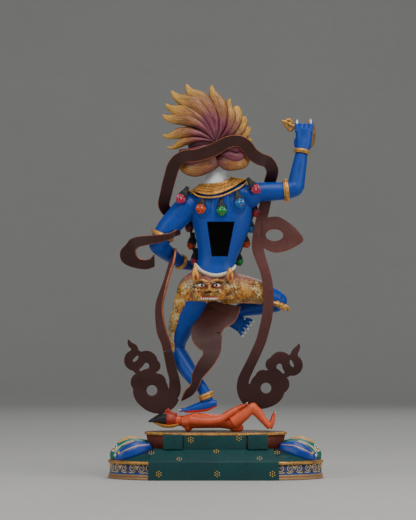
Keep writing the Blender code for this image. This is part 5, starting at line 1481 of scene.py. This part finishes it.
def make_scarf(sizes, tones):
    wall, soft = sizes.scarf_wall, sizes.edge_round
    dark = painted("scarf_brown", tones.scarf, roughness=0.5, broad=34.0, fine=520.0, relief=0.22)
    finish = Finish("streamer_brown", roughness=0.48, broad=30.0, fine=480.0, relief=0.22)
    height = add(finish.tree, "ShaderNodeSeparateXYZ", {0: finish.place}).outputs[2]
    share = add(finish.tree, "ShaderNodeMapRange", {0: height, 1: 0.06, 2: 0.22}).outputs[0]
    fall = ramp(finish.tree, share, [(0.3, scaled(tones.scarf, 1.05)), (0.62, scaled(tones.streamer, 0.72)),
        (0.95, tones.streamer)])
    mauve = finish.done(blend(finish.tree, 1, finish.mottled(grey(0.85)), fall, "MULTIPLY"))
    # The band edges take a copper gold that is partly the scarf's gold edging and partly a painted highlight along
    # the rims.
    edge_gold_and_highlight = gilded("edge_copper", "#B06A48", 0.42)
    backs, pales = (dark, edge_gold_and_highlight), (mauve, edge_gold_and_highlight)
    settle(ribbon("scarf_arch_band", [(*row, 0) for row in ARCH], wall, soft, backs), "scarf_arch", "scarf_arch")
    settle(strip("scarf_hook_band", HOOK_EDGES, wall, soft, backs), "scarf_left_hook", "scarf_left_hook")
    settle(ribbon("scarf_left_band", LEFT_STREAMER, wall, soft, pales), "scarf_left_streamer", "scarf_left_streamer")
    stem = [(-47.9, 126.6, 9.5), (-46.2, 118, 9.5), (-44, 108, 9.8), (-41.2, 97.5, 10.5), (-41.5, 86, 12.6),
        (-48, 77, 12), (-57, 73, 11)]
    solids, holes = curl_shapes((-63.7, 87.1), -1, 19, 6)
    settle(plate("scarf_left_roll", [stroke(stem), *solids], holes, LEFT_LEVELS, wall, soft, backs),
        "scarf_left_curl", "scarf_left_curl")
    stem = [(51.8, 287.2, 11), (49.5, 273, 11), (46.5, 260, 11), (43.8, 245.5, 12), (42.3, 231, 12),
        (44.8, 219.5, 10.5), (49, 207.5, 9.7), (52.2, 192.5, 10), (52.8, 177.5, 10.2), (52, 165.5, 10.5),
        (50.8, 157.2, 10.5)]
    leaf = [(46, 259), (54, 260.5), (63, 260.8), (72, 256), (81, 248.5), (88, 237.8), (80, 231), (70, 226.5),
        (60, 225), (52, 227.5), (45, 232)]
    loop = [Vector(p) for p in smooth_path(leaf, 6)]
    band = [stroke(stem), loop]
    stem = [(51, 160, 10.5), (50.7, 157, 10.5), (49, 150, 10.5), (45.3, 136.5, 10.2), (39, 122, 10.2),
        (32.7, 109, 10.4), (27.6, 97, 11.4), (28, 86, 13), (34.5, 77, 14), (45, 73.5, 10)]
    solids, holes = curl_shapes((50.2, 89.6), 1, 0, 0)
    settle(plate("scarf_right_band", [*band, stroke(stem), *solids], [disc(59, 242.5, 8.8, 5.9), *holes],
        RIGHT_LEVELS, wall, soft, pales), "scarf_right_streamer", "scarf_right_streamer", "scarf_right_curl")
    rows = [((a + b) / 2 - 215.7, y, 477.5 - level, b - a, 0) for level, a, b, y in SASH]
    sash = ribbon("sash_sheet", rows, wall, soft, pales, (-1, 0, 0))
    settle(sash, "sash_tail", "sash_tail")


# The hide skirt
WAIST = ((-26, -19.3, -12.8, -1.4, 10, 18.6, 26), (219, 211.8, 205.4, 201.8, 203.9, 209.6, 217))


def hide_finish(tones):
    """Ochre fur with broken rosettes, pinker along its upper edge."""
    old = bpy.data.materials.get("hide_paint")
    if old:
        return old
    finish = Finish("hide_paint", roughness=0.38, broad=60.0, fine=480.0, relief=0.25, coat=0.25)
    tree = finish.tree
    height = add(tree, "ShaderNodeSeparateXYZ", {0: finish.place}).outputs[2]
    base = ramp(tree, blend(tree, 0.4, finish.broad, finish.fine), [(0.4, "#9A4610"), (0.47, tones.hide),
        (0.54, "#D2A24A"), (0.61, "#E6D6A6")])
    high = add(tree, "ShaderNodeMapRange", {0: height, 1: 0.19, 2: 0.2}).outputs[0]
    base = blend(tree, high, base, ramp(tree, finish.fine, [(0.4, "#7E4440"), (0.6, "#B07A68")]))
    spread = blend(tree, 0.06, finish.place, finish.fine, "ADD")
    cells = add(tree, "ShaderNodeTexVoronoi", {"Vector": spread, "Scale": 96, "Randomness": 0.9})
    ring = ramp(tree, cells.outputs["Distance"], [(0.08, grey(0)), (0.12, grey(1)), (0.4, grey(1)), (0.44, grey(0))])
    broken = ramp(tree, finish.fine, [(0.3, grey(0)), (0.38, grey(1))])
    some = ramp(tree, add(tree, "ShaderNodeSeparateColor", {0: cells.outputs["Color"]}).outputs[0],
        [(0.18, grey(0)), (0.2, grey(1))])
    mask = reckon(tree, "MULTIPLY", reckon(tree, "MULTIPLY", ring, broken), some)
    low = add(tree, "ShaderNodeMapRange", {0: height, 1: 0.2, 2: 0.194}).outputs[0]
    mask = reckon(tree, "MULTIPLY", mask, low)
    return finish.done(blend(tree, mask, base, "#1E120A"), "#4A2410", 0.85)


def make_hide(sizes, tones):
    clay = Clay()
    clay.ball((-3, -1, 190), (29, 22, 13.8), detail=40)
    clay.limb([(9, 4, 190, 16.6), (32, 11.5, 187.5, 13.6), (42, 15, 185.4, 12.2), (48, 17.2, 183.8, 11.4)],
        DEEP, 32)
    clay.limb([(-16, 2.5, 190, 17.8), (-20.8, 3.6, 187, 17.4), (-22.6, 4, 183, 17), (-23.2, 4.4, 177.8, 16.4)],
        sides=32)
    clay.limb([(-33, -2, 188, 6, 4), (-35.8, -3, 176, 8, 3.2), (-39.4, 1.8, 165, 5.8, 3), (-43, 7.6, 152.5, 5.2, 2.8),
        (-44.2, 11.4, 143.5, 3.6, 2.4), (-43, 12.5, 134, 2, 1.8), (-42, 11.5, 124, 1.4, 1.4)],
        across=(0.75, -0.66, 0), sides=20)
    clay.ball((-6.5, -19.5, 184.6), (15.5, 7.2, 8.6), detail=28)
    for lean in (-1, 1):
        clay.ball((-6.5 + lean * 9.5, -19.5, 183.4), (7.4, 6.6, 7.4), detail=20)
        clay.limb([(-6.5 + lean * 1.8, -26, 195.2, 0.8), (-6.5 + lean * 7.5, -24.6, 197, 1.3),
            (-6.5 + lean * 14.5, -19.6, 194.6, 0.8)], sides=10)
        clay.ball((-6.5 + lean * 7.6, -24, 192.4), (4.6, 1.6, 2.6), detail=14)
    clay.limb([(-6.5, -24.6, 196, 2.2, 1.6), (-6.5, -26.8, 190.6, 2.4, 1.8), (-6.5, -28, 187.2, 3.4, 2.2)], sides=14)
    clay.ball((-6.5, -26.2, 182.6), (6, 3.4, 3), detail=16)
    material = hide_finish(tones)
    settle(clay.fused("hide_skirt", material, 0.0006, 4, 12, limit=120000))
    marks = {key: Clay() for key in ("gold", "white", "black", "red", "pale")}
    brass, teeth, ink, lips, waist = marks.values()
    for x, tall in ((-20, 213.5), (14.4, 210)):
        brass.limb([(x + 0.6, -19.4, 194.4, 2, 1.5), (x, -20.6, 199.4, 3.7, 1.9), (x - 0.4, -20.4, 205.4, 3.2, 1.7),
            (x - 0.8, -18.4, tall, 0.6, 0.6)], sides=16)
        lips.limb([(x + 0.4, -21.6, 197, 0.8, 0.6), (x, -22.4, 200.4, 1.4, 0.7), (x - 0.3, -21.8, 203.6, 0.5, 0.4)],
            sides=10)
    waist.limb([(-20.6, -5, 213.6, 1.2), (-18.6, -9.5, 210.8, 1.7), (-12.8, -14.2, 205.4, 1.9),
        (-1.4, -17.2, 201.8, 2.1), (10, -15.6, 203.9, 1.9), (17.6, -10, 208.8, 1.7), (19.4, -5, 211.8, 1.2)],
        DEEP, 14)
    for lean in (-1, 1):
        x = -6.5 + lean * 7.6
        teeth.ball((x, -24.6, 192.2), (3.5, 1.9, 1.9), (0, lean * 8, 0), detail=16)
        ink.ball((x - lean * 0.3, -26.1, 192.2), (1.3, 0.7, 1.3), detail=10)
        lips.limb([(x - lean * 3.7, -25.4, 191.6, 0.45), (x, -26, 190, 0.55), (x + lean * 3.7, -23.6, 191.6, 0.45)],
            sides=8)
        ink.limb([(x - lean * 3.9, -25.6, 192.8, 0.4), (x, -26.3, 194.6, 0.5), (x + lean * 4.4, -23.4, 193.4, 0.4)],
            sides=8)
        brass.limb([(-6.5 + lean * 1.2, -27.2, 195.4, 0.8), (x, -26.8, 197.4, 1.1), (x + lean * 6.8, -21.6, 196,
            0.6)], sides=10)
        brass.ball((-6.5 + lean * 2.3, -29.4, 187), (1.7, 1.4, 1.3), detail=12)
        ink.limb([(-6.5 + lean * 3.4, -28.6, 184.6, 0.35), (-6.5 + lean * 6.6, -27.6, 185.4, 0.35),
            (-6.5 + lean * 9.4, -26, 187, 0.3)], sides=6)
    brass.ball((-6.5, -30, 187.8), (2.4, 1.9, 1.7), detail=14)
    lips.limb([(-17, -21.8, 180, 0.9), (-12, -25.4, 180.2, 1.1), (-6.5, -27.6, 180.6, 1.2), (-1, -25.4, 180.2, 1.1),
        (4, -21.8, 180, 0.9)], DEEP, 10)
    for k in range(11):
        t = (k - 5) / 5
        teeth.ball((-6.5 + t * 9.4, -27.9 + 4.6 * t * t, 178.9 - 0.2 * abs(t)), (0.85, 0.85, 1.25), detail=8)
    for x, y, z in ((61.5, 13.6, 173.6), (65.4, 12.8, 171.8), (69, 14.2, 170.2)):
        brass.ball((x, y, z), (4, 3.6, 3.2), detail=16)
    for k in range(4):
        brass.limb([(68 + 0.5 * k, 12.6 + 2 * k, 171.8 - 0.7 * k, 1.5), (72.4, 12 + 2.2 * k, 170.4 - 0.8 * k, 1.3),
            (73.4, 12 + 2.2 * k, 168.4 - 0.8 * k, 0.6)], DEEP, 10)
    brass.limb([(50, 12, 176, 2.4, 1.6), (57, 12.6, 174.6, 3.2, 2.4), (64, 13, 172.4, 3.6, 2.8)], across=DEEP,
        sides=14)
    paints = {"gold": gilded("hide_gold", scaled(tones.gold, 1.05), 0.4), "white": painted("hide_tooth", "#EDE8DC",
        roughness=0.35), "black": painted("hide_black", "#15110E", roughness=0.4), "red": painted("hide_red",
        "#B0322C", roughness=0.4), "pale": painted("waist_cord", "#EADFC6", "#B08A50", roughness=0.3, coat=0.3)}
    settle(merged("hide_features", [c.plain(f"hide_{key}", paints[key]) for key, c in marks.items()]))


# Jewels and the garland
COLLAR_HIGH = [(4.3, -12.9, 293.8), (-7, -11.6, 292.6), (-16.3, -1, 292.5), (-10, 10, 289), (2, 13.6, 286),
    (12, 10, 292), (16.8, 0, 300), (12, -10, 296.6)]
COLLAR_LOW = [(4.3, -17.4, 284.8), (-8, -16.4, 283.1), (-23.8, -2, 286.3), (-17, 13, 279), (2, 19, 272),
    (20, 14.4, 281), (29.9, 0, 298.1), (17, -14.2, 290.4)]
CORD = [(4.3, -18.4, 280.6), (-7, -17.8, 279.4), (-17, -14.4, 280.8), (-28, -2, 287), (-19, 14, 272), (2, 23, 262),
    (22, 16, 274), (34.5, 0, 297), (24.5, -13.4, 289.8), (14.3, -16.6, 284.4)]


def collar_ring(t):
    """The line round the neck at a share of the way down the collar."""
    return [tuple(a + (b - a) * t for a, b in zip(high, low)) for high, low in zip(COLLAR_HIGH, COLLAR_LOW)]


def bangle(clay, centre, radius, normal, wire=1.5):
    """Two plain wires and a beaded one between them."""
    unit = Vector(normal).normalized()
    for offset, share in ((-1.5, 0.72), (1.5, 0.72), (0, 1)):
        at = Vector(centre) + unit * offset * wire / 1.5
        clay.hoop(tuple(at), radius + (0.5 if share == 1.0 else 0), normal, wire * share, 12, 44)


def make_jewels(sizes, tones):
    gold = gilded("jewel_gold", scaled(tones.gold, 1.05))
    clay = Clay()
    back, rings = bmesh.new(), []
    for edge, inset in ((COLLAR_HIGH, 0.97), (COLLAR_LOW, 0.975)):
        rings.append([back.verts.new(spot(x * inset, y * inset, z)) for x, y, z in smooth_path(edge, 8, True)])
    for i, upper in enumerate(rings[0]):
        n = (i + 1) % len(rings[0])
        back.faces.new((upper, rings[0][n], rings[1][n], rings[1][i]))
    backing = object_from(back, "collar_back", painted("collar_dark", "#3A2214", roughness=0.5))
    modify(backing, "SOLIDIFY", thickness=0.0008, offset=0.0)
    apply_modifiers(backing)
    settle(backing)
    rows = 7
    for k in range(rows):
        t = k / (rows - 1)
        ring = collar_ring(t)
        lift = 0.9 * sin(pi * t)
        ring = [(x * (1 + 0.02 * lift), y * (1 + 0.06 * lift), z, 1.1 if k in (0, rows - 1) else 0.66)
            for x, y, z in ring]
        clay.limb(ring, UP, 10, steps=10, closed=True)
    clay.limb([(*p, 0.95) for p in CORD], UP, 10, steps=10, closed=True)
    for row in (
        ((70.5, 2, 287), 10, (1, 0, 0.1), 1.6),
        ((86.3, 7.8, 326.3), 6.9, (0.15, 0.15, 1), 1.3),
        ((-53.3, 0.3, 242), 10.6, (-0.43, 0, -0.9), 1.4),
        ((-35, 28, 215.8), 6.7, (0.66, 0.66, -0.38), 1.2),
        ((-10.1, -7, 82.8), 6.8, (0.38, 0, -0.93), 1.1),
        ((-9.2, -7.1, 80.2), 6.6, (0.38, 0, -0.93), 0.8),
        ((16.6, 31.4, 163.6), 6.4, (-1, 0, -0.35), 1.3),
    ):
        bangle(clay, *row)
    for lean in (-1, 1):
        clay.hoop((2 + lean * 18.5, 3, 324), 4.2, (1, 0.4, 0), 1, 10, 28)
    settle(clay.plain("gold_jewels", gold))
    for k, t in enumerate((0.36, 0.66)):
        ring = collar_ring(t)
        points = threaded([(x * 1.03, y * 1.075, z) for x, y, z in ring], 12, True)
        settle(beaded(f"collar_beads_{k}", points, gold, 0.0017, 0.00095, True))
    white = painted("bead_white", "#E6DFCE", roughness=0.35, coat=0.2)
    strings = []
    for drop, low in ((0, 191), (1, 184), (2, 191)):
        xs = (-24 + 17 * drop, -6 + 17 * drop)
        strings.append([(xs[0], 19, 198), ((xs[0] + xs[1]) / 2, 24.5, low), (xs[1], 21.5, 199)])
    points = threaded([(-27, 3, 201), (-20, 17, 199), (-3, 23.5, 197.5), (14, 20, 199), (24, 8, 203)], 12)
    settle(beaded("girdle_beads", points, gold, 0.0024, 0.0014))
    for k, rows_in in enumerate(strings):
        settle(beaded(f"girdle_loop_{k}", threaded(rows_in, 10), white, 0.0019, 0.001))
    chest = threaded([(-16, 16, 282), (-3, 21, 262), (5, 25, 246), (14, 22, 262), (25, 14, 286)], 12)
    settle(beaded("chest_beads", chest, white, 0.002, 0.0011))


def make_garland(sizes, tones):
    base = PATTERN_BASE
    face, hair, eyes, lips = Clay(), Clay(), Clay(), Clay()
    face.ball((0, 0, base), (4.9, 4.3, 5.6), detail=24)
    face.ball((0, -2.4, base - 3.4), (2.8, 2.6, 2.6), detail=14)
    face.limb([(0, -4, base + 1.4, 0.6), (0, -5.4, base - 0.8, 1), (0, -4.6, base - 1.4, 0.8)], sides=10)
    face.limb([(-2.2, -4.2, base - 2.6, 0.6), (0, -4.9, base - 2.9, 0.8), (2.2, -4.2, base - 2.6, 0.6)], sides=8)
    for lean in (-1, 1):
        face.limb([(lean * 0.6, -4.4, base + 1.6, 0.6), (lean * 2.2, -4.2, base + 2.3, 0.8),
            (lean * 3.8, -2.9, base + 1.8, 0.5)], sides=8)
        face.ball((lean * 2.7, -3.2, base - 1), (1.5, 1.4, 1.4), detail=12)
        face.ball((lean * 4.7, -0.4, base - 0.2), (0.8, 1.2, 1.8), detail=10)
        eyes.ball((lean * 1.95, -4.05, base + 0.8), (1.15, 0.6, 0.7), detail=10)
        eyes.ball((lean * 0.6, -5.2, base - 1.5), (0.35, 0.4, 0.3), detail=8)
    lips.limb([(-1.9, -4.6, base - 3.3, 0.4), (0, -5.2, base - 3.6, 0.6), (1.9, -4.6, base - 3.3, 0.4)], sides=8)
    for k in range(9):
        angle = 2 * pi * k / 9
        x, y = cos(angle), sin(angle)
        hair.limb([(4.3 * x, 0.9 + 3.2 * y, base + 2.4, 1.3), (3.0 * x, 0.9 + 2.5 * y, base + 5.4, 1.3),
            (1.6 * x, 1.6 + 1.4 * y, base + 9, 1), (1.2 * x, 2.4 + 1.0 * y, base + 13, 0.8)], sides=8)
    hair.ball((0, 1, base + 2.2), (4.7, 4, 4), detail=16)
    hair.limb([(0, 1.6, base + 5, 2.2), (0, 2.6, base + 12.6, 1.2)], sides=10)
    patterns = [c.plain(n) for c, n in ((face, "head_pattern"), (hair, "hair_pattern"), (eyes, "eye_pattern"),
        (lips, "lip_pattern"))]
    places = []
    leans = (-30, -9, 0, 6, 42)
    for (at, code), lean in zip(BACK_HEADS, leans):
        out = Vector((at[0] * 0.022, -1, 0.12))
        up = Vector((sin(radians(-lean)), 0, cos(radians(lean))))
        places.append((spot(*at), facing(out, up), 0.98, linear(code)))
    for at, code in FRONT_HEADS:
        places.append((spot(*at), facing(Vector((at[0] * 0.03, 1, 0.05))), 0.92, linear(code)))
    paints = [tinted("garland_faces"), painted("garland_hair", "#26282C", roughness=0.4, fine=900.0, relief=0.5),
        painted("garland_eyes", "#EAE6DC", roughness=0.35), painted("garland_lips", "#8E1A1C", roughness=0.4)]
    names = ("garland_heads", "garland_hair", "garland_eyes", "garland_lips")
    for name, piece, material in zip(names, patterns, paints):
        made = copied(name, piece, places, material)
        if name == "garland_heads":
            mark_hollows(made, 6, 0.0003)
        settle(made)
    discard(*patterns)
    cord = Clay()
    rope = [(-25, -1, 287), *[tuple(Vector(at) + Vector((0, -3, 6))) for at, _ in FRONT_HEADS], (34, 0, 295)]
    cord.limb([(*p, 1.3) for p in rope], DEEP, 10, steps=8)
    settle(cord.plain("garland_cord", painted("cord_black", "#2A2422", roughness=0.5)))


# What the hands hold
def make_held(sizes, tones):
    clay = Clay()
    clay.limb([(73, 17, 355, 1.8), (79, 17.5, 352, 1.9), (91, 19, 348.5, 1.8), (99.5, 26.5, 346, 1.8)], sides=14)
    clay.ball((79, 17.5, 352), (2.5, 2.5, 2.5), detail=18)
    clay.limb([(74, 17, 354.5, 1.6), (69.5, 17, 356.5, 2.2), (65.8, 17, 358.2, 0.7)], sides=12)
    for sag in ([(75.6, 17.3, 348.2), (72, 17, 351), (69, 17, 355.5)], [(75, 17.3, 358.4), (70.5, 17, 358.2)]):
        clay.limb([(78, 17.5, 352, 1.5), *((*p, 1.7) for p in sag)], DEEP, 10)
    rows = []
    for k in range(17):
        angle = radians(-78 + 9.75 * k)
        bulge = max(0, cos(angle))
        rows.append((93 + 5.6 * bulge, 17 + 12 * bulge, 345 + 13.5 * sin(angle), 1.2 + 4 * bulge, 1))
    clay.limb(rows, across=(0.46, 0.89, 0), sides=16, steps=3)
    knife = clay.fused("gilded_knife", gilded("knife_gold", scaled(tones.gold, 0.8), 0.34), 0.0003, 3, 8)
    settle(knife, "curved_knife", "curved_knife")
    mesh = bmesh.new()
    outer, inner, turns, around = 10.5, 9, 14, 56
    section = [(inner * cos(a), -inner * sin(a)) for a in [pi / 2 * (1 - k / turns) for k in range(1, turns + 1)]]
    section += [(inner + 0.2, 0.35), ((inner + outer) / 2, 0.55), (outer - 0.2, 0.35)]
    section += [(outer * cos(a), -outer * sin(a) * (1 + 0.03 * sin(3 * a))) for a in [pi / 2 * k / turns
        for k in range(turns)]]
    rings = []
    for x, z in section:
        ring = []
        for k in range(around):
            angle = 2 * pi * k / around
            wave = 1 + 0.012 * sin(3 * angle)
            ring.append(mesh.verts.new(spot(-8 + x * wave * cos(angle), 43.8 + x * wave * sin(angle), 230.5 + z)))
        rings.append(ring)
    skin_rings(mesh, rings)
    bone = painted("cup_bone", "#E0D8C2", "#7A5A38", roughness=0.42, broad=90.0)
    cup = object_from(mesh, "bone_cup", bone)
    settle(cup, "skull_cup", "skull_cup")
    rim = Clay()
    rim.hoop((-8, 43.8, 230.4), 9.75, (0, 0, 1), 0.75, 10, 56)
    settle(rim.plain("cup_rim", gilded("cup_gold", tones.gold)), "skull_cup")


# The stage
def make_stage():
    mesh = bmesh.new()
    rows = [(-6, 0), (2.2, 0)]
    rows += [(2.2 + 1.4 * sin(radians(a)), 1.4 - 1.4 * cos(radians(a))) for a in range(6, 91, 6)]
    rows += [(3.6, 6)]
    lines = [[mesh.verts.new((x, y, z)) for x in (-7, 7)] for y, z in rows]
    for low, high in zip(lines, lines[1:]):
        mesh.faces.new((low[0], low[1], high[1], high[0]))
    finish = Finish("pale_floor", roughness=0.75, broad=3.0, fine=60.0, relief=0.03)
    floor = object_from(mesh, "pale_sweep", finish.done(finish.mottled("#C9C8C4", 0.97, 1.03)))
    scene = bpy.context.scene
    world = bpy.data.worlds.new("soft_room")
    world.use_nodes = True
    world.node_tree.nodes["Background"].inputs[0].default_value = (0.8, 0.83, 0.88, 1)
    world.node_tree.nodes["Background"].inputs[1].default_value = 0.24
    scene.world = world
    for name, place, size, power, tone in (
        ("softbox_top", (0.25, -0.7, 1.55), 1.1, 17, (1, 0.98, 0.95)),
        ("softbox_left", (-1.35, -1.1, 0.75), 0.9, 6.6, (0.95, 0.97, 1)),
        ("softbox_right", (1.4, -0.9, 0.6), 0.8, 5.8, (1, 0.98, 0.95)),
        ("softbox_front", (0.4, 1.6, 1.1), 1, 3.5, (1, 1, 1)),
    ):
        lamp = bpy.data.lights.new(name, "AREA")
        lamp.size, lamp.energy, lamp.color = size, power, tone
        obj = linked(name, lamp)
        obj.location = place
        obj.rotation_euler = (Vector((0, 0, 0.2)) - Vector(place)).to_track_quat("-Z", "Y").to_euler()
    camera = linked("photo_view", bpy.data.cameras.new("photo_view"))
    camera.location = (-0.0077, -3.2, 0.18)
    camera.rotation_euler = (Vector((-0.0077, 0, 0.2175)) - camera.location).to_track_quat("-Z", "Y").to_euler()
    camera.data.sensor_fit = "VERTICAL"
    camera.data.sensor_height = 36.0
    camera.data.lens = 221.5
    scene.camera = camera


# Operators and the panel
def operator(label, words, action, staged=False):
    """An operator class that makes one group of pieces from the scene's sizes and colours."""
    key = label.lower().replace(" ", "_").replace("-", "_")

    def execute(self, context):
        if staged:
            action()
        else:
            action(context.scene.statue_sizes, context.scene.statue_colours)
        return {"FINISHED"}

    return type(f"STATUE_OT_{key}", (bpy.types.Operator,), {
        "bl_idname": f"statue.{key}", "bl_label": label, "bl_options": {"REGISTER"}, "__doc__": words,
        "execute": execute})


STEPS = [
    operator("Plinth", "Build the two-tiered plinth with its rims, dot flowers and scroll band", make_plinth),
    operator("Petals", "Set the lotus petals round the plinth's shoulder", make_petals),
    operator("Trampled body", "Model and paint the small figure underfoot", make_trampled),
    operator("Dancer", "Model and paint the blue body, hands and feet", make_dancer),
    operator("Lion head", "Model the white lion face and its skull crown", make_lion_head),
    operator("Mane", "Grow the flame-shaped locks of the mane", make_mane),
    operator("Scarf", "Bend the scarf's bands, rolls and sash", make_scarf),
    operator("Hide", "Wrap the spotted hide round the hips", make_hide),
    operator("Jewels", "Make the collar, bangles and strings of beads", make_jewels),
    operator("Garland", "Hang the garland of small heads", make_garland),
    operator("Held things", "Make the curved knife and the skull cup", make_held),
    operator("Stage", "Set the floor, the soft lights and the camera", make_stage, True),
]


class STATUE_PT_workbench(bpy.types.Panel):
    """Sizes, colours and steps of the statue"""

    bl_idname = "STATUE_PT_workbench"
    bl_label = "Statue"
    bl_space_type = "VIEW_3D"
    bl_region_type = "UI"
    bl_category = "Statue"

    def draw(self, context):
        layout = self.layout
        for group in (context.scene.statue_sizes, context.scene.statue_colours):
            box = layout.box()
            for key in group.bl_rna.properties.keys():
                if key not in ("rna_type", "name"):
                    box.prop(group, key)
        for step in STEPS:
            layout.operator(step.bl_idname)


CLASSES = [StatueSizes, StatueColours, *STEPS, STATUE_PT_workbench]


def register():
    for made in CLASSES:
        bpy.utils.register_class(made)
    bpy.types.Scene.statue_sizes = bpy.props.PointerProperty(type=StatueSizes)
    bpy.types.Scene.statue_colours = bpy.props.PointerProperty(type=StatueColours)


def unregister():
    del bpy.types.Scene.statue_colours
    del bpy.types.Scene.statue_sizes
    for made in reversed(CLASSES):
        bpy.utils.unregister_class(made)


def main():
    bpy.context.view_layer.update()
    register()
    for step in STEPS:
        getattr(bpy.ops.statue, step.bl_idname.split(".")[1])()


if __name__ == "__main__":
    main()
